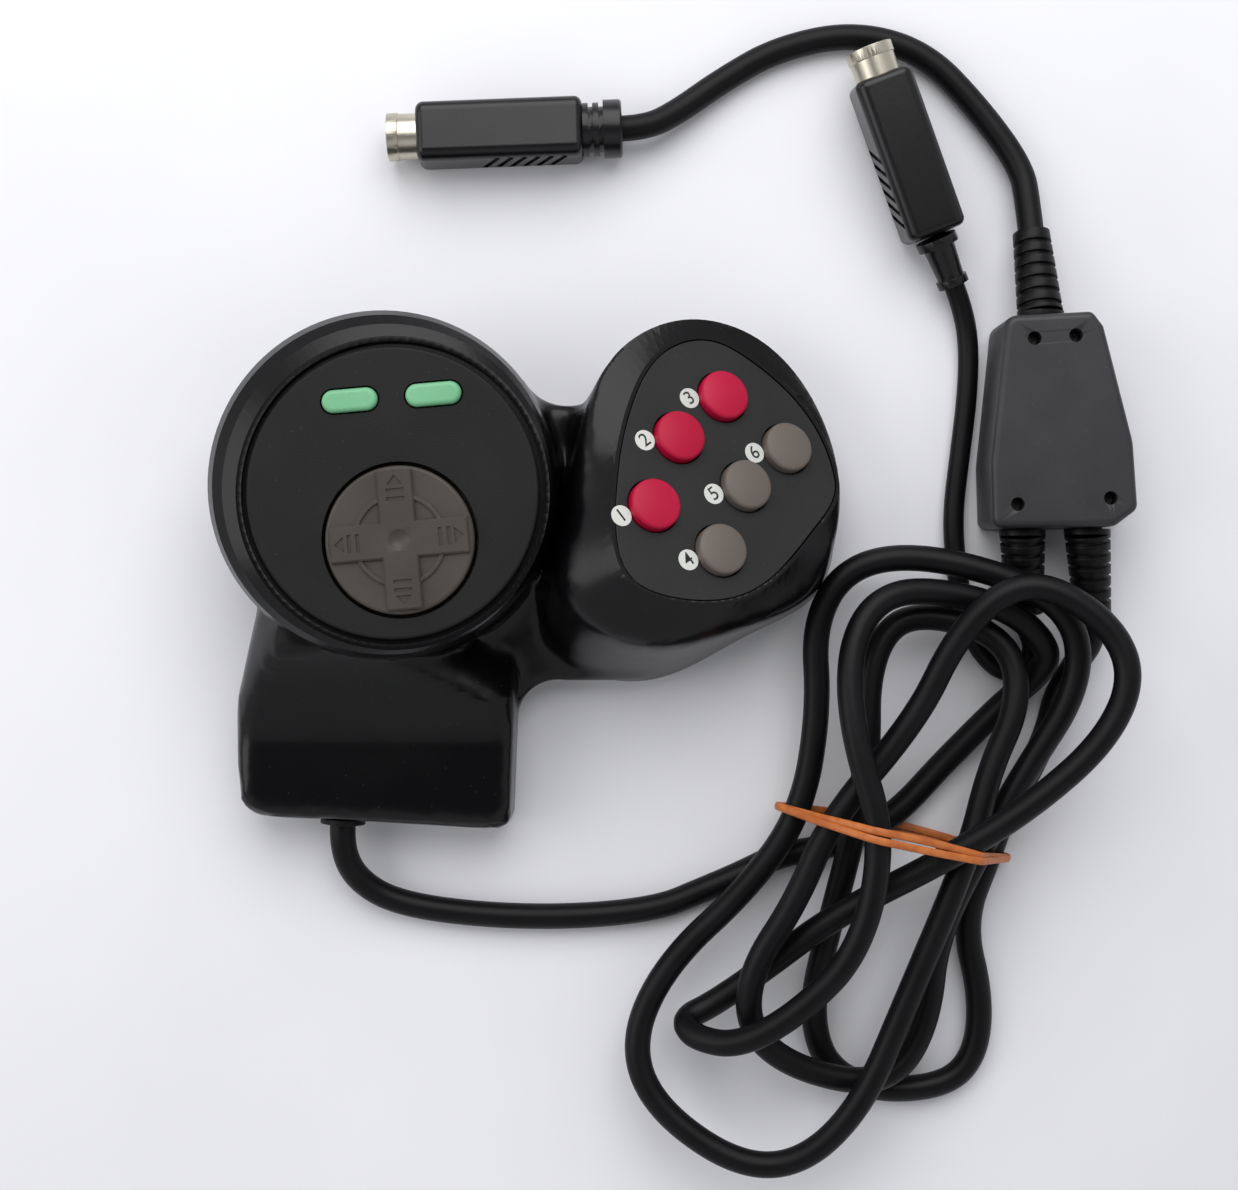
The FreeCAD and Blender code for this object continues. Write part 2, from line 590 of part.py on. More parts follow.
def make_lower_housing(outer, shell):
    """Lower shell with flat floor, screw bosses and sunk screw heads."""
    body = shell.common(slab(-1.0, SEAM_Z))
    for x, y in BOSS_AT:
        body = body.fuse(disc(x, y, FLOOR_WALL / 2, SEAM_Z, BOSS_RADIUS + 0.4).common(outer))
    for x, y in BOSS_AT:
        head_top = SCREW_SINK + SCREW_HEAD_THICK
        body = body.cut(disc(x, y, -1.0, head_top, SCREW_HEAD_RADIUS + 0.3))
        body = body.cut(disc(x, y, head_top - 0.1, SEAM_Z + 1.0, SCREW_RADIUS + SCREW_FIT))
    return body.cut(grommet_hole())


def make_dpad_plate():
    """Matte round cover of the drum."""
    plate = disc(CROWN_AT[0], CROWN_AT[1], DPAD_PLATE_BASE, DPAD_PLATE_TOP, DPAD_PLATE_RADIUS)
    rim = [edge for edge in plate.Edges if edge.BoundBox.ZMin > DPAD_PLATE_TOP - 0.01]
    plate = plate.makeFillet(0.6, rim)
    return plate.cut(Part.makeCompound(pad_openings()))


def make_button_plate():
    """Matte cover of the leaning face."""
    plate = face_prism(FACE_OUTLINE, -FACE_PLATE_THICK, 0.0)
    return plate.cut(Part.makeCompound(button_openings()))


def arm_marks(top):
    """Sunk arrow and two bars on one arm of the cross, pointing along +X."""
    depth = 0.3
    arrow = Part.makePolygon([V(12.2, 0, 0), V(10.4, 1.5, 0), V(10.4, -1.5, 0), V(12.2, 0, 0)])
    marks = [Part.Face(arrow).extrude(V(0, 0, depth + 1.0))]
    for along in (9.0, 7.4):
        marks.append(Part.makeBox(0.7, 3.4, depth + 1.0, V(along, -1.7, 0)))
    shape = Part.makeCompound(marks)
    shape.translate(V(0, 0, top - depth))
    return shape


def cross_outline(reach, half, z):
    """Outline of a level cross with four equal arms."""
    corners = []
    for quarter in range(4):
        angle = math.radians(90 * quarter)
        for along, across in ((half, -half), (reach, -half), (reach, half)):
            corners.append(V(
                along * math.cos(angle) - across * math.sin(angle),
                along * math.sin(angle) + across * math.cos(angle), z))
    return Part.makePolygon(corners + corners[:1])


def make_dpad():
    """Direction disc: flange, disc, raised cross, ring ridge, centre dimple and ball socket."""
    top = DPAD_PLATE_TOP + DPAD_PROUD
    cross_top = top + DPAD_CROSS_HEIGHT
    body = disc(0, 0, DPAD_BASE_Z, top, DPAD_RADIUS)
    rim = [edge for edge in body.Edges if edge.BoundBox.ZMin > top - 0.01]
    body = body.makeFillet(0.7, rim)
    body = body.fuse(disc(0, 0, DPAD_BASE_Z, DPAD_BASE_Z + DPAD_FLANGE_THICK, DPAD_RADIUS + DPAD_FLANGE))
    reach = DPAD_RADIUS - 0.9
    bevel = 0.35
    body = body.fuse(ruled_loft([
        cross_outline(reach, DPAD_CROSS_WIDTH / 2, top - 0.5),
        cross_outline(reach, DPAD_CROSS_WIDTH / 2, cross_top - bevel),
        cross_outline(reach - bevel, DPAD_CROSS_WIDTH / 2 - bevel, cross_top)]))
    half = DPAD_RING_WIDTH / 2
    ring = disc(0, 0, top - 0.5, top + 0.45, DPAD_RING_RADIUS + half)
    body = body.fuse(ring.cut(disc(0, 0, top - 1.0, top + 1.0, DPAD_RING_RADIUS - half)))
    cuts = []
    for quarter in range(4):
        marks = arm_marks(cross_top)
        marks.rotate(V(0, 0, 0), V(0, 0, 1), 90 * quarter)
        cuts.append(marks)
    cuts.append(Part.makeSphere(3.4, V(0, 0, cross_top + 2.7)))
    socket = PIVOT_BALL_RADIUS + PIVOT_PLAY
    cuts.append(disc(0, 0, DPAD_BASE_Z - 1.0, PIVOT_Z - 0.4, PIVOT_POST_RADIUS + 1.0))
    cuts.append(Part.makeSphere(socket, V(0, 0, PIVOT_Z)))
    for cut in cuts:
        body = body.cut(cut)
    body.rotate(V(0, 0, 0), V(0, 0, 1), FACE_TURN)
    body.translate(V(DPAD_AT[0], DPAD_AT[1], 0))
    return body


def make_pivot_post():
    """Post on the board whose cup carries the disc's pivot ball."""
    x, y = DPAD_AT
    foot = disc(x, y, MAIN_BOARD_TOP_Z, MAIN_BOARD_TOP_Z + 0.8, PIVOT_POST_RADIUS + 0.5)
    post = disc(x, y, MAIN_BOARD_TOP_Z, PIVOT_Z - 1.0, PIVOT_POST_RADIUS)
    cup = Part.makeSphere(PIVOT_BALL_RADIUS + PIVOT_PLAY, V(x, y, PIVOT_Z))
    return foot.fuse(post).cut(cup)


def make_key(x, y):
    """Long key with a rounded top, a flange under the roof and a plunger."""
    top = DPAD_PLATE_TOP + KEY_PROUD
    flange_top = DRUM_CEILING - KEY_GAP
    body = capsule(x, y, flange_top - 0.5, KEY_LENGTH, KEY_WIDTH, top - flange_top + 0.5, FACE_TURN)
    rim = [edge for edge in body.Edges if edge.BoundBox.ZMin > top - 0.01]
    body = body.makeFillet(0.9, rim)
    flange = capsule(
        x, y, flange_top - KEY_FLANGE_THICK, KEY_LENGTH + 2 * KEY_FLANGE, KEY_WIDTH + 2 * KEY_FLANGE,
        KEY_FLANGE_THICK, FACE_TURN)
    plunger = capsule(
        x, y, KEY_BASE_Z, KEY_LENGTH - 3.0, KEY_WIDTH - 1.0, flange_top - KEY_BASE_Z, FACE_TURN)
    return body.fuse(flange).fuse(plunger)


def make_button(x, y):
    """Round button on the leaning face: slightly domed top, flange and plunger."""
    crown = 1.6
    bowl = (BUTTON_RADIUS ** 2 + crown ** 2) / (2 * crown) * 2.2
    stem = disc(0, 0, FACE_CEILING - BUTTON_GAP - 0.3, BUTTON_PROUD, BUTTON_RADIUS)
    dome = Part.makeSphere(bowl, V(0, 0, BUTTON_PROUD - bowl))
    stem = stem.common(dome.fuse(disc(0, 0, -10.0, BUTTON_PROUD - 2.0, bowl)))
    brow = [edge for edge in stem.Edges if edge.BoundBox.ZMin > 0.0 and edge.BoundBox.XLength > 5.0]
    stem = stem.makeFillet(0.8, brow)
    flange_top = FACE_CEILING - BUTTON_GAP
    flange = disc(0, 0, flange_top - BUTTON_FLANGE_THICK, flange_top, BUTTON_RADIUS + BUTTON_FLANGE)
    plunger = disc(0, 0, BUTTON_BASE, flange_top, BUTTON_RADIUS * 0.4)
    body = stem.fuse(flange).fuse(plunger)
    body.translate(V(x, y, 0))
    return on_face(body)


def dome(x, y, low, high, radius):
    """Hollowless rubber dome between a sheet and what presses it."""
    return Part.makeCone(radius, radius * 0.7, high - low, V(x, y, low))


def make_dpad_membrane():
    """Rubber sheet with four domes under the direction disc."""
    low = MAIN_BOARD_TOP_Z
    top = low + MEMBRANE_THICK
    x, y = DPAD_AT
    sheet = disc(x, y, low, top, DPAD_RADIUS + 1.6)
    for quarter in range(4):
        angle = math.radians(FACE_TURN + 90 * quarter)
        reach = DPAD_RADIUS * 0.74
        sheet = sheet.fuse(dome(
            x + reach * math.cos(angle), y + reach * math.sin(angle), top, DPAD_BASE_Z - DOME_PLAY, 2.6))
    return sheet.cut(disc(x, y, low - 1.0, top + 1.0, PIVOT_POST_RADIUS + 0.9))


def make_key_membrane():
    """Rubber strip with one dome under each long key."""
    low = MAIN_BOARD_TOP_Z
    top = low + MEMBRANE_THICK
    (x_a, y_a), (x_b, y_b) = KEY_AT
    length = math.hypot(x_b - x_a, y_b - y_a) + KEY_LENGTH
    turn = math.degrees(math.atan2(y_b - y_a, x_b - x_a))
    sheet = capsule((x_a + x_b) / 2, (y_a + y_b) / 2, low, length, 7.6, MEMBRANE_THICK, turn)
    for x, y in KEY_AT:
        sheet = sheet.fuse(dome(x, y, top, KEY_BASE_Z - DOME_PLAY, 2.4))
    return sheet


def make_button_membrane():
    """Rubber sheet with one dome under each round button."""
    low = FACE_BOARD_TOP
    top = low + MEMBRANE_THICK
    sheet = face_prism(drawn_in(FACE_OUTLINE, FACE_BOARD_INSET + 1.0), low, top)
    for x, y in BUTTON_AT:
        sheet = sheet.fuse(on_face(dome(x, y, top, BUTTON_BASE - DOME_PLAY, 2.6)))
    for x, y in FACE_POST_AT:
        sheet = sheet.cut(on_face(disc(x, y, low - 1.0, top + 1.0, POST_RADIUS + 0.3)))
    return sheet


def make_main_board():
    """Round circuit board under the drum's roof."""
    low = MAIN_BOARD_TOP_Z - BOARD_THICK
    board = disc(CROWN_AT[0], CROWN_AT[1], low, MAIN_BOARD_TOP_Z, MAIN_BOARD_RADIUS)
    for x, y in MAIN_POST_AT:
        board = board.cut(disc(x, y, low - 1.0, MAIN_BOARD_TOP_Z + 1.0, SMALL_SCREW_RADIUS + 0.15))
    return board


def make_face_board():
    """Leaning circuit board under the six buttons."""
    low = FACE_BOARD_TOP - BOARD_THICK
    board = face_prism(drawn_in(FACE_OUTLINE, FACE_BOARD_INSET), low, FACE_BOARD_TOP)
    for x, y in FACE_POST_AT:
        board = board.cut(on_face(disc(x, y, low - 1.0, FACE_BOARD_TOP + 1.0, SMALL_SCREW_RADIUS + 0.15)))
    return board


def make_chip():
    """Controller chip with two rows of legs, hung under the main board."""
    top = MAIN_BOARD_TOP_Z - BOARD_THICK
    x, y = CHIP_AT
    length, width, thick = 15.0, 7.5, 2.0
    body = Part.makeBox(length, width, thick, V(x - length / 2, y - width / 2, top - 0.3 - thick))
    for index in range(9):
        place = x - length / 2 + (index + 0.5) * length / 9 - 0.25
        for side in (-1, 1):
            out = y + side * (width / 2 + 0.6)
            body = body.fuse(Part.makeBox(0.5, 1.4, 1.3, V(place, out - 0.7, top - 1.3)))
    return body


def block_wall():
    """Middle of the lead's hole on the block's front wall, and the wall's outward direction."""
    left = V(BLOCK_OUTLINE[3][0], BLOCK_OUTLINE[3][1], 0)
    right = V(BLOCK_OUTLINE[4][0], BLOCK_OUTLINE[4][1], 0)
    along = (right - left).normalize()
    at = left + along * ((LEAD_EXIT_X - left.x) / along.x) + V(0, 0, LEAD_EXIT_Z)
    return at, V(along.y, -along.x, 0)


def wall_disc(start, end, radius):
    """Cylinder through the block's front wall; distances count outwards from its outer face."""
    at, out = block_wall()
    return Part.makeCylinder(radius, end - start, at + out * start, out)


def grommet_hole():
    """Hole for the lead's grommet, half in each shell."""
    return wall_disc(-WALL - 2.0, 3.0, GROMMET_RADIUS + GROMMET_FIT)


def make_grommet():
    """Rubber grommet moulded on the lead, with a collar on both faces of the wall."""
    hub = wall_disc(-WALL - GROMMET_COLLAR, GROMMET_COLLAR, GROMMET_RADIUS)
    outside = wall_disc(0.0, GROMMET_COLLAR, GROMMET_RADIUS + 0.9)
    inside = wall_disc(-WALL - GROMMET_COLLAR, -WALL, GROMMET_RADIUS + 0.9)
    return hub.fuse(outside).fuse(inside)


def round_path(points):
    """Straight runs joined by tangent arcs, each arc as large as its two runs allow."""
    corners = [V(*point) for point in points]
    edges = []
    radii = []
    start = corners[0]
    for before, corner, after in zip(corners, corners[1:], corners[2:]):
        back = before - corner
        ahead = after - corner
        half_turn = (math.pi - back.getAngle(ahead)) / 2
        reach = 0.45 * min(back.Length, ahead.Length)
        radius = reach / math.tan(half_turn)
        radii.append(radius)
        arc_start = corner + back.normalize() * reach
        arc_end = corner + ahead.normalize() * reach
        inwards = (back + ahead).normalize()
        middle = corner + inwards * (math.hypot(radius, reach) - radius)
        edges.append(Part.makeLine(start, arc_start))
        edges.append(Part.Arc(arc_start, middle, arc_end).toShape())
        start = arc_end
    edges.append(Part.makeLine(start, corners[-1]))
    return Part.Wire(edges), min(radii)


def swept(wire, radius):
    """Round tube along a wire."""
    first = wire.OrderedEdges[0]
    ring = Part.makeCircle(radius, first.firstVertex(True).Point, first.tangentAt(first.FirstParameter))
    return wire.makePipeShell([Part.Wire(ring)], True, False)


def tube(name, points, radius):
    """Free lead along a route; prints its least bend radius and checks its volume."""
    wire, least = round_path(points)
    shape = swept(wire, radius)
    ideal = math.pi * radius ** 2 * wire.Length
    print(name, "length", round(wire.Length, 1), "least radius", round(least, 1),
          "volume ratio", round(shape.Volume / ideal, 4))
    return shape


def arc_piece(start, tangent, end):
    """Arc that leaves start along its tangent and ends at end, or a line if it hardly turns."""
    chord = end - start
    angle = tangent.getAngle(chord)
    if angle < 0.002:
        return Part.makeLine(start, end)
    half = chord.Length / 2
    side = tangent - chord * (tangent.dot(chord) / chord.Length ** 2)
    bulge = half * math.tan(angle / 2)
    middle = (start + end) * 0.5 + side.normalize() * bulge
    return Part.Arc(start, middle, end).toShape()


def biarc(start, tangent, end, end_tangent):
    """Two tangent arcs from one point and direction to another."""
    chord = end - start
    both = tangent + end_tangent
    spread = 2 * (1 - tangent.dot(end_tangent))
    if spread < 1e-5:
        return [Part.makeLine(start, end)]
    along = chord.dot(both)
    reach = (math.sqrt(along ** 2 + spread * chord.dot(chord)) - along) / spread
    joint = (start + end + (tangent - end_tangent) * reach) * 0.5
    first = arc_piece(start, tangent, joint)
    across = (joint - end).normalize()
    second = arc_piece(joint, across * (2 * end_tangent.dot(across)) - end_tangent, end)
    return [first, second]


def bend_points(top, lean, reach, start_half, end_half):
    """Level positions of one bend's control points, from its first shoulder to its last."""
    angle = math.radians(lean)
    sign = 1 if top else -1
    along = (sign * math.sin(angle), sign * math.cos(angle))
    left = (-along[1], along[0])
    places = [(out, start_half * wide) for out, wide in BEND_PATTERN]
    places += [(out, -end_half * wide) for out, wide in reversed(BEND_PATTERN)]
    return [(WAIST_AT[0] + along[0] * reach * out + left[0] * side,
             WAIST_AT[1] + along[1] * reach * out + left[1] * side) for out, side in places]


def hank_route():
    """Control points of the whole bundle, from the box's sleeve to the free lead."""
    points = [V(*point) for point in HANK_IN]
    for top, lean, reach, start_half, end_half, heights, waist_x, waist_z in HANK_TURNS:
        points.append(V(waist_x, TIE_START[1] + (waist_x - TIE_START[0]) * TIE_SLOPE, waist_z))
        places = bend_points(top, lean, reach, start_half, end_half)
        points += [V(x, y, z) for (x, y), z in zip(places, heights)]
    return points + [V(*point) for point in HANK_OUT]


def hank_wire(points):
    """Unbroken path of arcs that touches the middle of every leg of the route."""
    edges = [Part.makeLine(points[0], (points[0] + points[1]) * 0.5)]
    for before, corner, after in zip(points, points[1:], points[2:]):
        start = (before + corner) * 0.5
        end = (corner + after) * 0.5
        edges += biarc(start, (corner - before).normalize(), end, (after - corner).normalize())
    edges.append(Part.makeLine((points[-2] + points[-1]) * 0.5, points[-1]))
    return Part.Wire(edges)


def least_gap(points, diameter, skip):
    """Least clear distance between parts of a path that are more than skip apart along it."""
    along = [0.0]
    for before, after in zip(points, points[1:]):
        along.append(along[-1] + before.distanceToPoint(after))
    least = 1000.0
    for index, point in enumerate(points):
        for other in range(index + 1, len(points)):
            if along[other] - along[index] > skip:
                least = min(least, point.distanceToPoint(points[other]) - diameter)
    return least


def make_hank(wire):
    """The bundle as one unbroken tube; prints its length, least gap and volume ratio."""
    samples = wire.discretize(Distance=2.0)
    shape = swept(wire, LEAD_RADIUS)
    ideal = math.pi * LEAD_RADIUS ** 2 * wire.Length
    print("bundle length", round(wire.Length, 1), "least gap to itself",
          round(least_gap(samples, 2 * LEAD_RADIUS, 14.0), 2),
          "volume ratio", round(shape.Volume / ideal, 4), "lowest", round(shape.BoundBox.ZMin, 2))
    return shape


def hull(points):
    """Convex outline of flat points, anticlockwise."""
    ordered = sorted(points)
    outline = []
    for sequence in (ordered, ordered[::-1]):
        chain = []
        for point in sequence:
            while len(chain) > 1 and cross(chain[-2], chain[-1], point) <= 0:
                chain.pop()
            chain.append(point)
        outline += chain[:-1]
    return outline


def cross(first, second, third):
    """Turn direction at second on the way from first to third."""
    return ((second[0] - first[0]) * (third[1] - first[1])
            - (second[1] - first[1]) * (third[0] - first[0]))


def make_tie(wire):
    """Flat wire tie drawn round everything that crosses the waist."""
    along = V(1, TIE_SLOPE, 0).normalize()
    start = V(TIE_START[0], TIE_START[1], 0)
    square = V(-along.y, along.x, 0)
    marks = []
    radius = LEAD_RADIUS + TIE_FIT
    for point in wire.discretize(Distance=0.5):
        offset = point - start
        if abs(offset.dot(square)) < TIE_WIDTH / 2 + 1.2:
            for step in range(16):
                angle = 2 * math.pi * step / 16
                marks.append((offset.dot(along) + radius * math.cos(angle),
                              point.z + radius * math.sin(angle)))
    outline = [point for index, point in enumerate(hull(marks)) if index % 2 == 0]
    outer = Part.makePolygon([V(x, 0, z) for x, z in outline + outline[:1]])
    ring = outer.makeOffset2D(TIE_THICK, 2, False, False, True)
    body = Part.Face(ring).extrude(V(0, TIE_WIDTH, 0)).cut(Part.Face(outer).extrude(V(0, TIE_WIDTH, 0)))
    body.translate(V(0, -TIE_WIDTH / 2, 0))
    body.rotate(V(0, 0, 0), V(0, 0, 1), math.degrees(math.atan(TIE_SLOPE)))
    body.translate(start)
    return body


def box_form(inset):
    """The box's outer form, or its hollow when inset is the wall."""
    outline = drawn_in(BOX_OUTLINE, -inset)
    radii = [max(radius - inset, 0.6) for radius in BOX_CORNERS]
    low = inset
    high = BOX_HEIGHT - inset
    body = Part.Face(rounded_outline(outline, radii, low)).extrude(V(0, 0, high - low))
    if inset:
        return body
    rims = [edge for edge in body.Edges if edge.BoundBox.ZLength < 0.01]
    return body.makeFillet(BOX_EDGE_ROUND, rims)


def sleeve_cut(name):
    """Hole through the box's wall for one sleeve's hub."""
    (x, y, z), (tip_x, tip_y, tip_z) = SLEEVES[name]
    outwards = 1 if tip_y > y else -1
    return Part.makeCylinder(
        SLEEVE_HUB_RADIUS + GROMMET_FIT, 8.0, V(x, y - outwards * 4.0, z), V(0, outwards, 0))


def knob_slot(grow, slide, inwards, outwards):
    """Block across the box's right wall round the knob's shaft."""
    length, height = KNOB_SIZE
    half = length / 2 + grow + slide
    block = Part.makeBox(
        inwards + outwards, 2 * half, height + 2 * grow,
        V(-inwards, -half, BOX_SEAM_Z - height / 2 - grow))
    block.rotate(V(0, 0, 0), V(0, 0, 1), KNOB_LEAN)
    block.translate(V(KNOB_AT[0], KNOB_AT[1], 0))
    return block


def make_box_shells():
    """Both shells of the fork box, with bosses, screw holes and wall openings."""
    outer = box_form(0.0)
    hollow = box_form(BOX_WALL)
    shell = outer.cut(hollow)
    upper = shell.common(slab(BOX_SEAM_Z, 40.0))
    lower = shell.common(slab(-1.0, BOX_SEAM_Z))
    cuts = [sleeve_cut(name) for name in SLEEVES]
    cuts.append(knob_slot(KNOB_GAP, KNOB_SLIDE, 4.0, 4.0))
    for x, y in BOX_SCREW_AT:
        lower = lower.fuse(disc(x, y, BOX_WALL / 2, BOX_BOARD_Z, BOX_BOSS_RADIUS + 0.8))
        lower = lower.fuse(disc(x, y, BOX_WALL / 2, BOX_SEAM_Z, BOX_BOSS_RADIUS))
        upper = upper.fuse(disc(x, y, BOX_SEAM_Z, BOX_HEIGHT - BOX_WALL / 2, BOX_BOSS_RADIUS))
        upper = upper.fuse(disc(x, y, BOX_SEAT_Z, BOX_HEIGHT - BOX_WALL / 2, BOX_BOSS_RADIUS + 1.0))
        foot = BOX_SCREW_FOOT_Z - 0.4
        cuts.append(disc(x, y, foot, BOX_HEIGHT, BOX_SCREW_RADIUS + SCREW_FIT))
        cuts.append(disc(x, y, BOX_SCREW_HEAD_Z, BOX_HEIGHT + 1.0, BOX_SCREW_HEAD_RADIUS + 0.2))
    cuts = Part.makeCompound(cuts)
    return upper.cut(cuts), lower.cut(cuts)


def make_box_screws():
    """Four screws that point down from the sunk holes of the box's lid."""
    length = BOX_SCREW_HEAD_Z - BOX_SCREW_FOOT_Z
    screws = []
    for x, y in BOX_SCREW_AT:
        one = screw(0, 0, 0, BOX_SCREW_HEAD_RADIUS, BOX_SCREW_HEAD_THICK, BOX_SCREW_RADIUS, length)
        one.rotate(V(0, 0, 0), V(1, 0, 0), 180)
        one.translate(V(x, y, BOX_SCREW_HEAD_Z + BOX_SCREW_HEAD_THICK))
        screws.append(one)
    return group(screws)


def make_box_board():
    """Circuit board on the lower bosses' shoulders."""
    outline = drawn_in(BOX_OUTLINE, -(BOX_WALL + 0.8))
    radii = [max(radius - BOX_WALL - 0.8, 0.6) for radius in BOX_CORNERS]
    board = Part.Face(rounded_outline(outline, radii, BOX_BOARD_Z)).extrude(V(0, 0, BOX_BOARD_THICK))
    for x, y in BOX_SCREW_AT:
        board = board.cut(disc(x, y, BOX_BOARD_Z - 1.0, BOX_SEAM_Z, BOX_BOSS_RADIUS + 0.12))
    return board


def make_switch_body():
    """Housing of the slide switch, on the board behind the knob."""
    base = BOX_BOARD_Z + BOX_BOARD_THICK
    block = Part.makeBox(3.4, 9.0, 6.0, V(-7.0, -4.5, base))
    block.rotate(V(0, 0, 0), V(0, 0, 1), KNOB_LEAN)
    block.translate(V(KNOB_AT[0], KNOB_AT[1], 0))
    return block.cut(knob_slot(0.1, KNOB_SLIDE, 5.4, 0.0))


def make_knob():
    """Sliding knob: a cap outside the wall and a shaft into the switch."""
    return knob_slot(0.0, 0.0, 5.3, KNOB_PROUD)


def make_sleeve(name):
    """Ribbed sleeve with a hub through the wall and a flange on its inner face."""
    wall_point, tip = SLEEVES[name]
    at = V(*wall_point)
    outwards = V(0, 1 if tip[1] > wall_point[1] else -1, 0)
    start = at + outwards * 0.3
    hub = Part.makeCylinder(SLEEVE_HUB_RADIUS, SLEEVE_INNER + 0.8, at - outwards * SLEEVE_INNER, outwards)
    flange = Part.makeCylinder(
        SLEEVE_HUB_RADIUS + 0.5, 0.7, at - outwards * SLEEVE_INNER, outwards)
    collar = Part.makeCylinder(SLEEVE_BASE_RADIUS, SLEEVE_COLLAR, start, outwards)
    along = V(*tip) - start
    length = along.Length
    pitch = (length - SLEEVE_COLLAR - 1.2) / SLEEVE_RIBS
    root = SLEEVE_COLLAR - 0.15
    profile = [V(root, 0, 0)]
    outline = []
    for rib in range(SLEEVE_RIBS):
        groove_start = SLEEVE_COLLAR + 0.6 + rib * pitch
        outline += [(groove_start, 0.0), (groove_start, 0.8), (groove_start + pitch * 0.36, 0.8),
                    (groove_start + pitch * 0.36, 0.0)]
    outline = [(root, 0.0)] + outline + [(length, 0.0)]
    for place, depth in outline:
        share = place / length
        radius = SLEEVE_BASE_RADIUS + (SLEEVE_TIP_RADIUS - SLEEVE_BASE_RADIUS) * share - depth
        profile.append(V(place, radius, 0))
    profile += [V(length, 0, 0), V(root, 0, 0)]
    ribbed = Part.Face(Part.makePolygon(profile)).revolve(V(0, 0, 0), V(1, 0, 0), 360)
    ribbed.rotate(V(0, 0, 0), V(1, 0, 0), SLEEVE_SEAM_TURN)
    ribbed.Placement = FreeCAD.Placement(start, FreeCAD.Rotation(V(1, 0, 0), along)).multiply(ribbed.Placement)
    return hub.fuse(flange).fuse(collar).fuse(ribbed)


def make_terminals():
    """Solder blocks on the board behind the three sleeves."""
    base = BOX_BOARD_Z + BOX_BOARD_THICK
    return group([Part.makeBox(5.0, 4.0, 6.0, V(x - 2.5, y - 2.0, base)) for x, y in TERMINAL_AT.values()])


def make_cores():
    """Bundled cores from each sleeve's inner face to its solder block."""
    cores = []
    for name, ((x, y, z), (tip_x, tip_y, tip_z)) in SLEEVES.items():
        inwards = -1 if tip_y > y else 1
        start = y + inwards * SLEEVE_INNER
        end = TERMINAL_AT[name][1] - inwards * 2.0
        cores.append(Part.makeCylinder(
            BOX_CORE_RADIUS, abs(end - start), V(BOX_CORE_X[name], start, z), V(0, inwards, 0)))
    return group(cores)


def along_x(profile):
    """Solid of revolution about the X axis."""
    return Part.Face(Part.makePolygon(profile + profile[:1])).revolve(V(0, 0, 0), V(1, 0, 0), 360)


def square_section(place, half, corner):
    """Rounded square in the plane x = place."""
    points = [(-half, -half), (half, -half), (half, half), (-half, half)]
    wire = rounded_outline(points, [corner] * 4, 0.0)
    wire.rotate(V(0, 0, 0), V(0, 1, 0), 90)
    wire.translate(V(place, 0, 0))
    return wire


def plug_grip():
    """Rubber body: rounded square grip with slanted grooves on both sides and a shroud hole."""
    body = Part.Face(square_section(SHROUD_OUT, GRIP_HALF, 2.4)).extrude(V(GRIP_END - SHROUD_OUT, 0, 0))
    ends = [edge for edge in body.Edges if edge.BoundBox.XLength < 0.01]
    body = body.makeFillet(GRIP_ROUND, ends)
    high = 2 * (GRIP_HALF - GRIP_ROUND)
    for side in (1, -1):
        for step in range(GROOVE_COUNT):
            groove = Part.makeBox(GROOVE_WIDE, GROOVE_DEEP, high, V(-GROOVE_WIDE / 2, 0, -high / 2))
            groove.rotate(V(0, 0, 0), V(0, 1, 0), GROOVE_LEAN)
            inner = GRIP_HALF - GROOVE_DEEP if side > 0 else -GRIP_HALF
            groove.translate(V(GROOVE_START + step * GROOVE_PITCH, inner, 0))
            body = body.cut(groove)
    hole = Part.makeCylinder(SHROUD_RADIUS - 0.2, SHROUD_END - SHROUD_OUT + 1.0, V(SHROUD_OUT - 1.0, 0, 0), V(1, 0, 0))
    return body.cut(hole)


def plug_shroud():
    """Metal shroud: a rim at the mouth and a sleeve that runs into the grip."""
    inner = SHROUD_RADIUS - SHROUD_WALL - 0.2
    return along_x([
        V(0, inner, 0), V(0, SHROUD_RADIUS, 0), V(SHROUD_RIM, SHROUD_RADIUS, 0),
        V(SHROUD_RIM, SHROUD_RADIUS - 0.2, 0), V(SHROUD_END, SHROUD_RADIUS - 0.2, 0),
        V(SHROUD_END, inner, 0)])


def plug_insert():
    """Plastic insert inside the shroud, with a key bar that stands out towards the mouth."""
    inner = SHROUD_RADIUS - SHROUD_WALL - 0.2
    body = Part.makeCylinder(inner, SHROUD_END - 7.0, V(7.0, 0, 0), V(1, 0, 0))
    key = Part.makeBox(6.0, 1.8, 1.2, V(1.5, -0.9, 0.4))
    body = body.fuse(key)
    for place in pin_places():
        body = body.cut(Part.makeCylinder(PIN_RADIUS, 20.0, V(0.0, *place), V(1, 0, 0)))
    return body


def pin_places():
    """Six pin positions in the plane across the plug, as y and z."""
    angles = (25, 90 + 35, 180 - 5, 180 + 45, 270 + 45, 355)
    return [(PIN_CIRCLE * math.sin(math.radians(angle)), PIN_CIRCLE * math.cos(math.radians(angle)))
            for angle in angles]


def plug_pins():
    """Six round pins."""
    return group([Part.makeCylinder(PIN_RADIUS, 9.5, V(2.0, y, z), V(1, 0, 0)) for y, z in pin_places()])


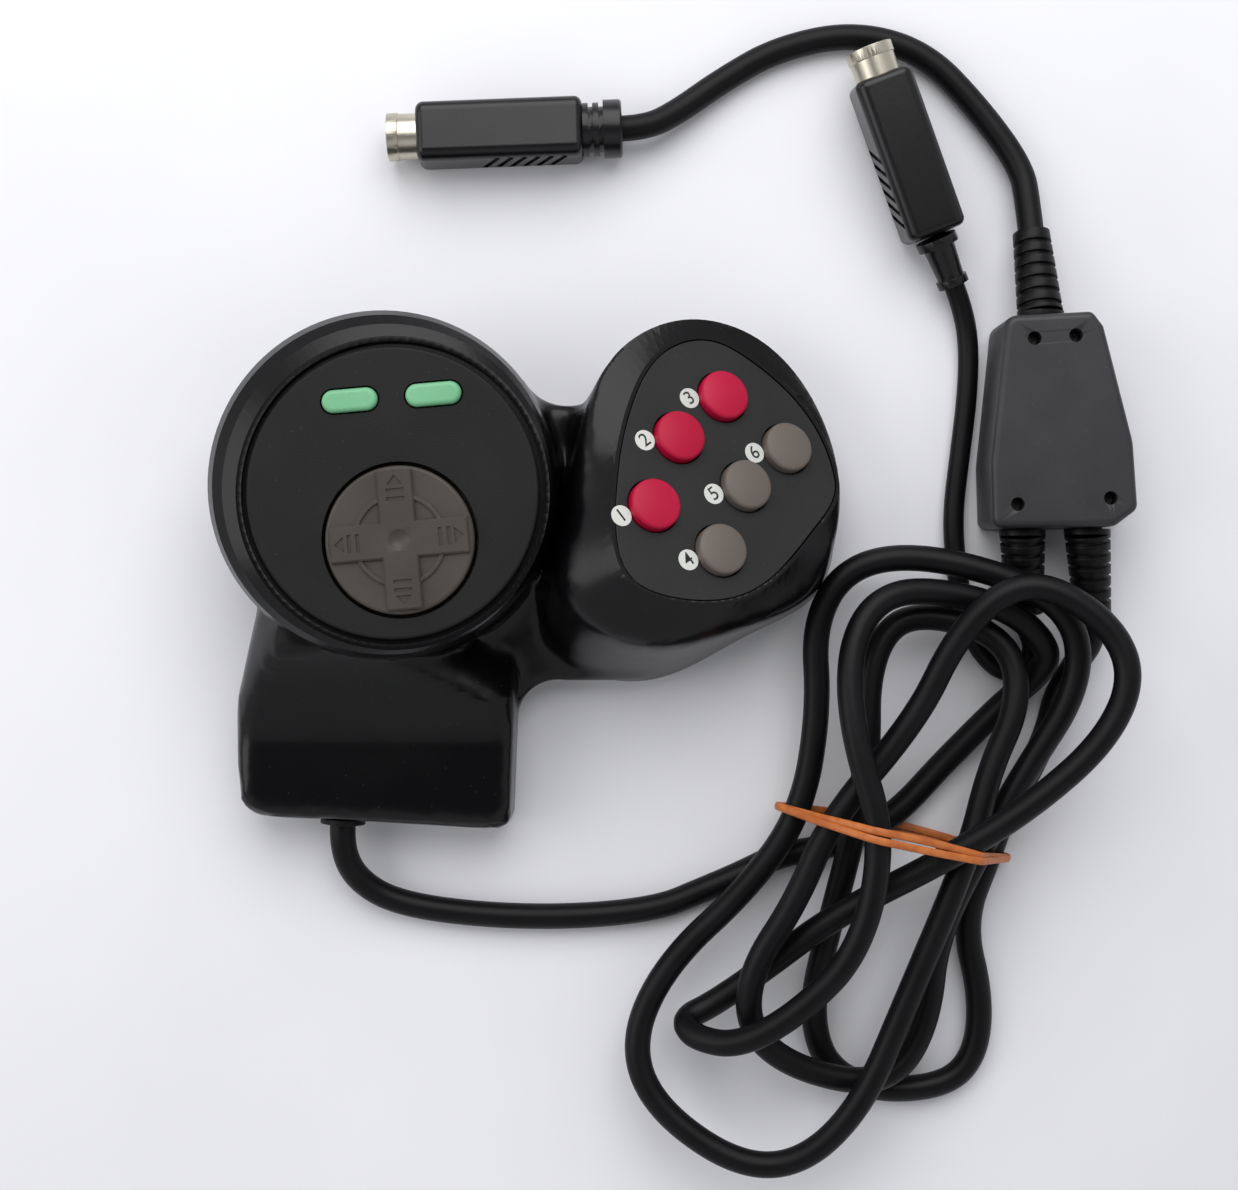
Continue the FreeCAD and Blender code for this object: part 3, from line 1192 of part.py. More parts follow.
def plug_neck():
    """Ringed neck and collar behind the grip."""
    places = [GRIP_END]
    for step in RING_STEPS:
        places.append(places[-1] + step)
    profile = [V(GRIP_END, 0, 0)]
    for start, end, number in zip(places, places[1:], range(len(RING_STEPS))):
        radius = RING_RADIUS if number % 2 == 0 else RING_GROOVE_RADIUS
        profile += [V(start, radius, 0), V(end, radius, 0)]
    profile += [
        V(places[-1], COLLAR_RADIUS, 0), V(COLLAR_END - 0.4, COLLAR_RADIUS, 0),
        V(COLLAR_END, COLLAR_RADIUS - 0.4, 0), V(COLLAR_END, 0, 0)]
    return along_x(profile)


def thin_sleeve():
    """Tapered sleeve with a lip behind the second plug's grip."""
    tail = V(*PLUG_2_TAIL)
    end = V(*THIN_SLEEVE_END)
    length = (end - tail).Length
    body = along_x([
        V(0, 0, 0), V(0, THIN_RING_RADIUS, 0), V(THIN_RING_END, THIN_RING_RADIUS, 0),
        V(THIN_RING_END, THIN_LIP_RADIUS, 0), V(length - THIN_LIP_LENGTH, THIN_WAIST_RADIUS, 0),
        V(length - THIN_LIP_LENGTH, THIN_LIP_RADIUS, 0), V(length, THIN_LIP_RADIUS, 0),
        V(length, 0, 0)])
    body.Placement = FreeCAD.Placement(tail, FreeCAD.Rotation(V(1, 0, 0), end - tail))
    return body


def plug_place(tip, tail):
    """Placement that lays the +X axis from tip towards tail with the grooves on top."""
    along = V(*tail) - V(*tip)
    across = V(0, 0, 1).cross(along)
    return FreeCAD.Placement(V(*tip), FreeCAD.Rotation(along, across, along.cross(across), "XYZ"))


def placed(shape, place):
    """A shape moved by a placement."""
    moved = shape.copy()
    moved.Placement = place.multiply(moved.Placement)
    return moved


def make_socket():
    """Connector housing that hangs under the main board and takes the lead's cores."""
    x, y = SOCKET_AT
    length, width, height = SOCKET_SIZE
    top = MAIN_BOARD_TOP_Z - BOARD_THICK
    return Part.makeBox(length, width, height, V(x - length / 2, y - width / 2, top - height))


def save_cords():
    """Write the leads, the bundle and its tie."""
    save("pad_lead", tube("pad lead", NEAR_ROUTE, LEAD_RADIUS))
    wire = hank_wire(hank_route())
    save("lead_hank", make_hank(wire))
    save("hank_tie", make_tie(wire))
    save("plug_1_lead", tube("first plug's lead", PLUG_1_ROUTE, LEAD_RADIUS))
    save("plug_2_lead", tube("second plug's lead", PLUG_2_ROUTE, THIN_LEAD_RADIUS))
    save("lead_socket", make_socket())
    save("lead_cores", tube("cores", CORE_ROUTE, CORE_RADIUS))
    x, y = LINK_END_AT
    low = FACE_BOARD_TOP - BOARD_THICK
    ends = [tuple(FACE.multVec(V(x, y, low - below))) for below in (6.0, 0.0)]
    save("board_link", tube("board link", list(LINK_START) + ends, LINK_RADIUS))


def save_box():
    """Write the fork box."""
    upper, lower = make_box_shells()
    save("box_lid", upper)
    save("box_tray", lower)
    save("box_board", make_box_board())
    save("box_screws", make_box_screws())
    save("box_switch_body", make_switch_body())
    save("box_switch_knob", make_knob())
    save("box_terminals", make_terminals())
    save("box_cores", make_cores())
    for name in SLEEVES:
        save("box_sleeve_" + name, make_sleeve(name))


def save_plugs():
    """Write both plugs."""
    pieces = (
        ("grip", plug_grip()), ("shroud", plug_shroud()), ("insert", plug_insert()),
        ("pins", plug_pins()))
    for number, tip, tail in ((1, PLUG_1_TIP, PLUG_1_TAIL), (2, PLUG_2_TIP, PLUG_2_TAIL)):
        place = plug_place(tip, tail)
        for name, shape in pieces:
            save("plug_%d_%s" % (number, name), placed(shape, place))
    save("plug_1_neck", placed(plug_neck(), plug_place(PLUG_1_TIP, PLUG_1_TAIL)))
    save("plug_2_neck", thin_sleeve())


def build():
    """Make every node and write it."""
    os.makedirs("parts", exist_ok=True)
    outer = pad_form()
    hollow = pad_form(WALL, DRUM_TOP_Z - DRUM_CEILING, -FACE_CEILING)
    shell = outer.cut(hollow)
    save("upper_housing", make_upper_housing(shell))
    save("lower_housing", make_lower_housing(outer, shell))
    save("dpad_faceplate", make_dpad_plate())
    save("button_faceplate", make_button_plate())
    save("dpad", make_dpad())
    save("dpad_pivot_post", make_pivot_post())
    save("dpad_pivot_ball", Part.makeSphere(PIVOT_BALL_RADIUS, V(DPAD_AT[0], DPAD_AT[1], PIVOT_Z)))
    save("dpad_membrane", make_dpad_membrane())
    save("select_key", make_key(*KEY_AT[0]))
    save("start_key", make_key(*KEY_AT[1]))
    save("key_membrane", make_key_membrane())
    for number, (x, y) in enumerate(BUTTON_AT, 1):
        save("button_%d" % number, make_button(x, y))
    save("button_membrane", make_button_membrane())
    save("main_board", make_main_board())
    save("button_board", make_face_board())
    save("controller_chip", make_chip())
    save("lead_grommet", make_grommet())
    save("housing_screws", group([
        screw(x, y, SCREW_SINK, SCREW_HEAD_RADIUS, SCREW_HEAD_THICK, SCREW_RADIUS,
              SCREW_TOP_Z - SCREW_SINK - SCREW_HEAD_THICK) for x, y in BOSS_AT]))
    small = (SMALL_SCREW_HEAD_RADIUS, SMALL_SCREW_HEAD_THICK, SMALL_SCREW_RADIUS,
             BOARD_THICK + SMALL_SCREW_BITE)
    main_low = MAIN_BOARD_TOP_Z - BOARD_THICK - SMALL_SCREW_HEAD_THICK
    face_low = FACE_BOARD_TOP - BOARD_THICK - SMALL_SCREW_HEAD_THICK
    save("board_screws", group(
        [screw(x, y, main_low, *small) for x, y in MAIN_POST_AT]
        + [on_face(screw(x, y, face_low, *small)) for x, y in FACE_POST_AT]))
    save_cords()
    save_box()
    save_plugs()


build()
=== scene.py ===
# %% [markdown]
# # A game pad seen from straight above
#
# The pad, its bundled lead, a fork box and two round plugs lie on a pale table. Every solid
# comes from the CAD frame, where one unit is a metre, +X is the player's right and +Z is up.
# Each step below dresses one group of pieces: first the camera and the leads, then the light,
# the finishes, the pad, the box and the plugs.

# %% Frame
import math

import bmesh
import bpy
import numpy as np
from mathutils import Matrix, Vector
from mathutils.bvhtree import BVHTree


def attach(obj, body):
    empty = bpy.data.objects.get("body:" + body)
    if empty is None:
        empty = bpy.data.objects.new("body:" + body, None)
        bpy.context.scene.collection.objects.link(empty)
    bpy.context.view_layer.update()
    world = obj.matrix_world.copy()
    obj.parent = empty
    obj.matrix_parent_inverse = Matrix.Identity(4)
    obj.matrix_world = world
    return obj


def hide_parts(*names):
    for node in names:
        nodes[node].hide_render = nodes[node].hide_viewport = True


MM = 0.001
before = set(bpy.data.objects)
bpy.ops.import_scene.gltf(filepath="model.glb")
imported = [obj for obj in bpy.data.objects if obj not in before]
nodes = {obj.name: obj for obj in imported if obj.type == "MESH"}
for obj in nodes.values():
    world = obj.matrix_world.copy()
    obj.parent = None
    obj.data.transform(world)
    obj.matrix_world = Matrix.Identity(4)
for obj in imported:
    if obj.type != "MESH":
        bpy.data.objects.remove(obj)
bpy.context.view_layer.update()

# %% [markdown]
# ## Camera
#
# The photograph looks straight down from about 40 cm. A phone-like lens that near shows the
# pad's walls lean outwards a little, so the height matters as much as the angle of view.

# %% Camera
CAMERA_PLACE = (0.0177, -0.0045, 0.400)
VIEW_WIDTH_ON_TABLE = 0.2538
NEAREST_SEEN = 0.01
camera_data = bpy.data.cameras.new("camera")
camera_data.sensor_fit = "HORIZONTAL"
camera_data.angle = 2 * math.atan(VIEW_WIDTH_ON_TABLE / 2 / CAMERA_PLACE[2])
camera_data.clip_start = NEAREST_SEEN
camera = bpy.data.objects.new("camera", camera_data)
camera.location = CAMERA_PLACE
bpy.context.scene.collection.objects.link(camera)
bpy.context.scene.camera = camera
bpy.context.scene.view_settings.view_transform = "Standard"
print("view angle", round(math.degrees(camera_data.angle), 2), "degrees")

# %% [markdown]
# ## Leads
#
# A rubber lead is a fixed length of a springy round cord. Each one here is a NURBS curve with
# a round bevel: its control points are the route that the CAD tubes follow, so the curve is
# smoother than they are and lies in the same place. The long one leaves the pad, winds
# through eight bends of the bundle and ends in the fork box.

# %% Lead routes in millimetres
THICK_RADIUS = 2.6
THIN_RADIUS = 2.1
PAD_ROUTE = (
    (-37.77, -50.44, 8.0), (-38.04, -55.5, 8.0), (-35.2, -62.5, 4.4), (-27.0, -67.4, 2.6),
    (-9.0, -69.8, 2.6), (10.0, -70.0, 2.6), (26.0, -68.2, 2.6))
WAIST_AT = (74.6, -52.5)
TIE_START = (52.3, -47.4)
TIE_SLOPE = -50.0 / 213.0
BEND_PATTERN = ((0.36, 0.80), (0.66, 1.0), (0.89, 0.88), (1.0, 0.42))
HANK_IN = (
    (113.4, -7.9, 5.6), (114.0, -13.2, 4.6), (110.6, -18.1, 3.5), (106.6, -24.8, 3.0),
    (105.0, -32.2, 2.6), (100.9, -41.0, 3.0), (95.7, -49.1, 3.6))
HANK_TURNS = (
    (False, -3, 52.5, 15.0, 20.0, (3.5, 3.0, 2.7, 2.6, 2.6, 3.0, 5.0, 8.0), 93.0, 3.8),
    (True, 10, 44.0, 12.5, 17.5, (10.5, 10.5, 10.0, 9.5, 10.0, 11.0, 12.5, 13.0), 65.1, 10.0),
    (False, 35, 73.0, 23.0, 24.0, (14.5, 15.0, 13.5, 12.0, 10.5, 9.5, 8.5, 8.5), 87.0, 14.0),
    (True, 15, 55.0, 28.5, 25.5, (9.5, 10.5, 12.0, 13.5, 14.0, 13.5, 12.0, 10.5), 54.4, 9.0),
    (False, 17, 50.5, 16.0, 22.0, (7.5, 7.0, 7.5, 8.5, 11.0, 14.0, 16.0, 17.0), 89.6, 9.0),
    (True, 35, 56.5, 15.5, 19.0, (17.5, 19.0, 20.5, 21.5, 22.0, 23.0, 23.0, 22.0), 59.0, 17.0),
    (False, 52, 57.5, 4.0, -12.5, (14.5, 9.5, 8.0, 10.0, 14.5, 19.0, 22.0, 23.5), 83.9, 19.5),
    (True, 12, 49.0, 19.5, 25.0, (23.0, 20.5, 18.0, 15.5, 13.0), 68.9, 24.0))
HANK_OUT = (
    (104.2, -15.6, 10.5), (101.7, -20.9, 7.5), (96.1, -25.8, 5.0), (89.8, -32.2, 4.0),
    (82.7, -39.5, 3.5), (75.6, -47.2, 4.0), (68.1, -52.7, 4.0), (59.4, -55.9, 3.0),
    (50.3, -57.4, 2.6), (42.2, -61.4, 2.6), (34.1, -64.8, 2.6))
PLUG_1_ROUTE = (
    (18.27, 89.7, 6.0), (23.17, 89.887, 6.0), (29.4, 93.4, 4.0), (38.5, 100.2, 2.6),
    (50.0, 106.8, 2.6), (65.5, 110.0, 2.6), (80.0, 106.0, 2.6), (91.0, 94.5, 2.6),
    (99.6, 82.5, 3.0), (100.6, 74.6, 4.45), (101.0, 68.6, 5.6))
PLUG_2_ROUTE = (
    (85.6, 58.4, 4.2), (87.4, 54.4, 3.15), (89.0, 47.3, 2.1), (88.8, 37.0, 2.1),
    (87.2, 24.0, 2.1), (85.7, 12.0, 2.1), (86.3, 2.0, 2.1), (87.7, -6.0, 2.1),
    (89.2, -12.0, 2.1), (92.3, -17.2, 2.1), (96.2, -20.3, 2.1), (100.8, -19.4, 2.2),
    (102.2, -15.0, 3.4), (99.88, -10.54, 5.08), (99.7, -8.0, 5.6))


# %% Bundle route
def bend_places(top, lean, reach, start_half, end_half):
    """Level control points of one bend, from its first shoulder to its last."""
    sign = 1 if top else -1
    along = Vector((sign * math.sin(math.radians(lean)), sign * math.cos(math.radians(lean))))
    left = Vector((-along.y, along.x))
    places = [along * reach * out + left * start_half * wide for out, wide in BEND_PATTERN]
    places += [
        along * reach * out - left * end_half * wide for out, wide in reversed(BEND_PATTERN)]
    return [Vector(WAIST_AT) + place for place in places]


def bundle_route():
    """Every control point of the bundle, from the box's sleeve to the free lead."""
    points = list(HANK_IN)
    for top, lean, reach, start_half, end_half, heights, waist_x, waist_z in HANK_TURNS:
        points.append((waist_x, TIE_START[1] + (waist_x - TIE_START[0]) * TIE_SLOPE, waist_z))
        places = bend_places(top, lean, reach, start_half, end_half)
        points += [(place.x, place.y, z) for place, z in zip(places, heights)]
    return points + list(HANK_OUT)


# %% Leads as curves
LEAD_ROUNDNESS = 6
LEAD_STEPS = 14


def lead_curve(name, route, radius):
    """Round lead along a smooth NURBS curve whose control points are the route."""
    data = bpy.data.curves.new(name, "CURVE")
    data.dimensions = "3D"
    data.bevel_depth = radius * MM
    data.bevel_resolution = LEAD_ROUNDNESS
    data.resolution_u = LEAD_STEPS
    data.use_fill_caps = True
    spline = data.splines.new("NURBS")
    spline.points.add(len(route) - 1)
    for point, place in zip(spline.points, route):
        point.co = (place[0] * MM, place[1] * MM, place[2] * MM, 1.0)
    spline.order_u = 3
    spline.use_endpoint_u = True
    piece = bpy.data.objects.new(name, data)
    bpy.context.scene.collection.objects.link(piece)
    return piece


def curve_points(piece):
    """Points of a curve's own line, as it is drawn without its bevel."""
    depth = piece.data.bevel_depth
    piece.data.bevel_depth = 0.0
    depsgraph = bpy.context.evaluated_depsgraph_get()
    line = bpy.data.meshes.new_from_object(piece.evaluated_get(depsgraph))
    piece.data.bevel_depth = depth
    return [vertex.co.copy() for vertex in line.vertices]


def line_length(points):
    """Length of a chain of points."""
    return sum((after - before).length for before, after in zip(points, points[1:]))


long_lead = lead_curve("long_lead", list(PAD_ROUTE) + bundle_route()[::-1], THICK_RADIUS)
first_plug_lead = lead_curve("first_plug_lead", PLUG_1_ROUTE, THICK_RADIUS)
second_plug_lead = lead_curve("second_plug_lead", PLUG_2_ROUTE, THIN_RADIUS)
bpy.context.view_layer.update()
lead_lines = {
    piece.name: curve_points(piece) for piece in (long_lead, first_plug_lead, second_plug_lead)}
for name, points in lead_lines.items():
    print(name, "length", round(line_length(points), 4))

# %% [markdown]
# ## Table and light
#
# The object lies on a pale table in soft light from a window beyond its far side and a
# weaker one on its left, so its shadows are wide and fall towards the player. The room is
# dark straight above, where the camera hangs, so level black plastic stays black and only
# the surfaces that lean towards a window shine.

# %% Table and light
def area_light(name, place, aim, size, power, colour):
    """Large soft lamp at a place, turned towards a point."""
    data = bpy.data.lights.new(name, "AREA")
    data.shape = "DISK"
    data.size = size
    data.energy = power
    data.color = colour
    lamp = bpy.data.objects.new(name, data)
    lamp.location = place
    lamp.rotation_euler = (Vector(aim) - Vector(place)).to_track_quat("-Z", "Y").to_euler()
    bpy.context.scene.collection.objects.link(lamp)


area_light("window_lamp", (0.03, 0.46, 0.56), (0.02, 0.02, 0.0), 0.80, 4.4, (1.0, 1.0, 1.0))
area_light("left_lamp", (-0.55, 0.05, 0.42), (0.0, 0.02, 0.0), 0.50, 1.2, (1.0, 0.99, 0.98))
HORIZON_STRENGTH = 0.62
ZENITH_STRENGTH = 0.06
DIM_FROM = 0.80
DIM_TO = 0.98
world = bpy.data.worlds.new("studio")
world.use_nodes = True
world_tree = world.node_tree
backdrop = world_tree.nodes["Background"]
backdrop.inputs["Color"].default_value = (0.97, 0.98, 1.0, 1.0)
heading = world_tree.nodes.new("ShaderNodeTexCoord")
height = world_tree.nodes.new("ShaderNodeSeparateXYZ")
dimming = world_tree.nodes.new("ShaderNodeMapRange")
dimming.inputs["From Min"].default_value = DIM_FROM
dimming.inputs["From Max"].default_value = DIM_TO
dimming.inputs["To Min"].default_value = HORIZON_STRENGTH
dimming.inputs["To Max"].default_value = ZENITH_STRENGTH
world_tree.links.new(heading.outputs["Generated"], height.inputs["Vector"])
world_tree.links.new(height.outputs["Z"], dimming.inputs["Value"])
world_tree.links.new(dimming.outputs["Result"], backdrop.inputs["Strength"])
bpy.context.scene.world = world
print("lamps", len(bpy.data.lights))

# %% [markdown]
# ## Finishes
#
# Moulded plastic is never one flat colour: it has a fine grain, faint flow marks and a little
# dust. Three shader groups hold those effects, and each material places them with its own
# values. All of them read Object coordinates, because every piece's object is at the origin.

# %% Shader groups
FLOW_DETAIL = 4.0
FLOW_EDGES = (0.38, 0.68)
GRAIN_DETAIL = 2.0
SPECK_REACH = 0.10
DUST_COLOUR = (0.55, 0.54, 0.52, 1)
SMEAR_SCALE = 45.0
HAZE_DEPTH = 0.05


def new_group(name, inputs, outputs):
    """Empty shader group with named float or colour sockets."""
    tree = bpy.data.node_groups.new(name, "ShaderNodeTree")
    for label, kind, value in inputs:
        socket = tree.interface.new_socket(name=label, in_out="INPUT", socket_type=kind)
        socket.default_value = value
    for label, kind in outputs:
        tree.interface.new_socket(name=label, in_out="OUTPUT", socket_type=kind)
    return tree, tree.nodes.new("NodeGroupInput"), tree.nodes.new("NodeGroupOutput")


def make_tone_group():
    """Slow change between two colours, such as moulding flow marks and handling."""
    tree, given, result = new_group(
        "surface tone",
        [("Color", "NodeSocketColor", (0.1, 0.1, 0.1, 1)),
         ("Worn Color", "NodeSocketColor", (0.2, 0.2, 0.2, 1)),
         ("Scale", "NodeSocketFloat", 60.0)],
        [("Color", "NodeSocketColor"), ("Mask", "NodeSocketFloat")])
    place = tree.nodes.new("ShaderNodeTexCoord")
    noise = tree.nodes.new("ShaderNodeTexNoise")
    noise.inputs["Detail"].default_value = FLOW_DETAIL
    ramp = tree.nodes.new("ShaderNodeMapRange")
    ramp.inputs["From Min"].default_value = FLOW_EDGES[0]
    ramp.inputs["From Max"].default_value = FLOW_EDGES[1]
    mix = tree.nodes.new("ShaderNodeMix")
    mix.data_type = "RGBA"
    tree.links.new(place.outputs["Object"], noise.inputs["Vector"])
    tree.links.new(given.outputs["Scale"], noise.inputs["Scale"])
    tree.links.new(noise.outputs["Fac"], ramp.inputs["Value"])
    tree.links.new(ramp.outputs["Result"], mix.inputs["Factor"])
    tree.links.new(given.outputs["Color"], mix.inputs["A"])
    tree.links.new(given.outputs["Worn Color"], mix.inputs["B"])
    tree.links.new(mix.outputs["Result"], result.inputs["Color"])
    tree.links.new(ramp.outputs["Result"], result.inputs["Mask"])
    return tree


def make_grain_group():
    """Fine moulded grain as a height."""
    tree, given, result = new_group(
        "moulded grain",
        [("Scale", "NodeSocketFloat", 2600.0)],
        [("Height", "NodeSocketFloat")])
    place = tree.nodes.new("ShaderNodeTexCoord")
    noise = tree.nodes.new("ShaderNodeTexNoise")
    noise.inputs["Detail"].default_value = GRAIN_DETAIL
    tree.links.new(place.outputs["Object"], noise.inputs["Vector"])
    tree.links.new(given.outputs["Scale"], noise.inputs["Scale"])
    tree.links.new(noise.outputs["Fac"], result.inputs["Height"])
    return tree


def make_dust_group():
    """Sparse pale specks of dust, and a roughness that slow smears raise a little."""
    tree, given, result = new_group(
        "dust specks",
        [("Color", "NodeSocketColor", (0.02, 0.02, 0.02, 1)),
         ("Roughness", "NodeSocketFloat", 0.3),
         ("Scale", "NodeSocketFloat", 420.0),
         ("Amount", "NodeSocketFloat", 0.035)],
        [("Color", "NodeSocketColor"), ("Roughness", "NodeSocketFloat")])
    place = tree.nodes.new("ShaderNodeTexCoord")
    cells = tree.nodes.new("ShaderNodeTexVoronoi")
    spots = tree.nodes.new("ShaderNodeMapRange")
    spots.inputs["From Min"].default_value = SPECK_REACH
    spots.inputs["From Max"].default_value = 0.0
    amount = tree.nodes.new("ShaderNodeMath")
    amount.operation = "MULTIPLY"
    mix = tree.nodes.new("ShaderNodeMix")
    mix.data_type = "RGBA"
    mix.inputs["B"].default_value = DUST_COLOUR
    smear = tree.nodes.new("ShaderNodeTexNoise")
    smear.inputs["Scale"].default_value = SMEAR_SCALE
    haze = tree.nodes.new("ShaderNodeMath")
    haze.operation = "MULTIPLY_ADD"
    haze.inputs[1].default_value = 2 * HAZE_DEPTH
    tree.links.new(place.outputs["Object"], cells.inputs["Vector"])
    tree.links.new(place.outputs["Object"], smear.inputs["Vector"])
    tree.links.new(given.outputs["Scale"], cells.inputs["Scale"])
    tree.links.new(cells.outputs["Distance"], spots.inputs["Value"])
    tree.links.new(spots.outputs["Result"], amount.inputs[0])
    tree.links.new(given.outputs["Amount"], amount.inputs[1])
    tree.links.new(amount.outputs["Value"], mix.inputs["Factor"])
    tree.links.new(given.outputs["Color"], mix.inputs["A"])
    tree.links.new(mix.outputs["Result"], result.inputs["Color"])
    tree.links.new(smear.outputs["Fac"], haze.inputs[0])
    tree.links.new(given.outputs["Roughness"], haze.inputs[2])
    tree.links.new(haze.outputs["Value"], result.inputs["Roughness"])
    return tree


TONE = make_tone_group()
GRAIN = make_grain_group()
DUST = make_dust_group()


# %% Material maker
def linear(red, green, blue):
    """Colour on the shader's linear scale from one on the usual 0 to 255 scale."""
    parts = [value / 255 for value in (red, green, blue)]
    return tuple(
        part / 12.92 if part <= 0.04045 else ((part + 0.055) / 1.055) ** 2.4
        for part in parts) + (1.0,)


GRAIN_HEIGHT = 0.3 * MM


def moulded(name, colour, worn, roughness, tone_scale=60.0, grain_depth=0.04, dust=0.0,
            metallic=0.0, specular=0.5):
    """Material of a moulded or plated piece, from its two tones, its gloss and its grain."""
    material = bpy.data.materials.new(name)
    material.use_nodes = True
    tree = material.node_tree
    shader = tree.nodes["Principled BSDF"]
    tone = tree.nodes.new("ShaderNodeGroup")
    tone.node_tree = TONE
    tone.inputs["Color"].default_value = colour
    tone.inputs["Worn Color"].default_value = worn
    tone.inputs["Scale"].default_value = tone_scale
    specks = tree.nodes.new("ShaderNodeGroup")
    specks.node_tree = DUST
    specks.inputs["Roughness"].default_value = roughness - HAZE_DEPTH
    specks.inputs["Amount"].default_value = dust
    grain = tree.nodes.new("ShaderNodeGroup")
    grain.node_tree = GRAIN
    bump = tree.nodes.new("ShaderNodeBump")
    bump.inputs["Strength"].default_value = grain_depth
    bump.inputs["Distance"].default_value = GRAIN_HEIGHT
    tree.links.new(tone.outputs["Color"], specks.inputs["Color"])
    tree.links.new(specks.outputs["Color"], shader.inputs["Base Color"])
    tree.links.new(specks.outputs["Roughness"], shader.inputs["Roughness"])
    tree.links.new(grain.outputs["Height"], bump.inputs["Height"])
    tree.links.new(bump.outputs["Normal"], shader.inputs["Normal"])
    shader.inputs["Metallic"].default_value = metallic
    shader.inputs["Specular IOR Level"].default_value = specular
    return material


# %% Finishes of this pad
gloss_black = moulded(
    "gloss_black", linear(5, 5, 7), linear(9, 9, 11), 0.25, dust=0.03, grain_depth=0.02,
    specular=0.27)
box_black = moulded(
    "box_black", linear(31, 31, 34), linear(42, 42, 45), 0.46, dust=0.05, grain_depth=0.05,
    specular=0.50)
drum_matte = moulded(
    "drum_matte", linear(15, 15, 15), linear(20, 20, 19), 0.60, dust=0.04, grain_depth=0.14,
    specular=0.26)
lobe_matte = moulded(
    "lobe_matte", linear(26, 26, 27), linear(32, 32, 32), 0.58, dust=0.04, grain_depth=0.14,
    specular=0.35)
taupe = moulded(
    "taupe", linear(61, 56, 52), linear(70, 65, 60), 0.45, grain_depth=0.06, specular=0.32)
key_green = moulded(
    "key_green", linear(108, 172, 128), linear(118, 180, 138), 0.40, specular=0.40)
button_red = moulded(
    "button_red", linear(172, 10, 52), linear(180, 18, 60), 0.45, grain_depth=0.05,
    specular=0.24)
button_grey = moulded(
    "button_grey", linear(98, 89, 83), linear(106, 97, 90), 0.45, grain_depth=0.05,
    specular=0.30)
lead_rubber = moulded(
    "lead_rubber", linear(7, 7, 9), linear(12, 12, 15), 0.44, tone_scale=120.0,
    grain_depth=0.05, specular=0.18)
plug_rubber = moulded(
    "plug_rubber", linear(8, 8, 10), linear(14, 14, 17), 0.28, grain_depth=0.05, specular=0.38)
sleeve_rubber = moulded(
    "sleeve_rubber", linear(7, 7, 9), linear(12, 12, 14), 0.42, grain_depth=0.05, specular=0.20)
tie_rubber = moulded(
    "tie_rubber", linear(170, 88, 30), linear(196, 112, 52), 0.50, tone_scale=420.0,
    grain_depth=0.10)
plated = moulded(
    "plated", linear(206, 200, 186), linear(184, 178, 162), 0.30, metallic=1.0, grain_depth=0.03)
screw_steel = moulded(
    "screw_steel", linear(150, 148, 145), linear(120, 118, 115), 0.32, metallic=1.0)
dark_steel = moulded(
    "dark_steel", linear(52, 50, 50), linear(40, 39, 40), 0.40, metallic=1.0)
board_green = moulded("board_green", linear(24, 96, 52), linear(30, 108, 60), 0.35)
chip_black = moulded("chip_black", linear(24, 24, 25), linear(34, 34, 35), 0.5)
cream_plastic = moulded("cream_plastic", linear(222, 216, 200), linear(206, 200, 184), 0.45)
silicone = moulded("silicone", linear(178, 178, 174), linear(160, 160, 156), 0.55)
core_jacket = moulded("core_jacket", linear(120, 120, 124), linear(96, 96, 100), 0.5)
label_white = moulded("label_white", linear(206, 208, 203), linear(192, 195, 190), 0.5)
label_ink = moulded("label_ink", linear(16, 18, 22), linear(26, 28, 32), 0.5)
table_white = moulded(
    "table_white", linear(232, 232, 236), linear(226, 226, 230), 0.55, tone_scale=9.0)
print("finishes", len(bpy.data.materials))

# %% Table
TABLE_SIDE = 6.0
bpy.ops.mesh.primitive_plane_add(size=TABLE_SIDE, location=(0, 0, 0))
table_top = bpy.context.object
table_top.name = "table_top"
table_top.data.materials.append(table_white)

# %% [markdown]
# ## Dressing the construction model
#
# A construction model's mesh is faceted: each curved wall is a fan of flat strips. A copy whose
# shared points are joined, shaded smooth up to a crease angle and softened along its hard
# edges by a tiny bevel, reads as moulded plastic. The copy stands for the original, which
# stays in place for collision.

# %% Dressed copies
ROUND_EDGE = 0.00018
ROUND_STEPS = 2
CREASE = 32.0
SAME_POINT = 1e-6
NO_LENGTH = 1e-7
FLATNESS_WEIGHT = 60
dressed = {}


def keep_hard_edges(mesh):
    """Leaves only the hard edges outside the softened skin sharp, and marks them for the bevel."""
    sharp = mesh.attributes["sharp_edge"].data
    weight = mesh.attributes.new("bevel_weight_edge", "FLOAT", "EDGE").data
    for edge in mesh.edges:
        free = all(skin_freedom(mesh.vertices[index].co) > 0.0 for index in edge.vertices)
        sharp[edge.index].value = sharp[edge.index].value and not free
        weight[edge.index].value = float(sharp[edge.index].value)


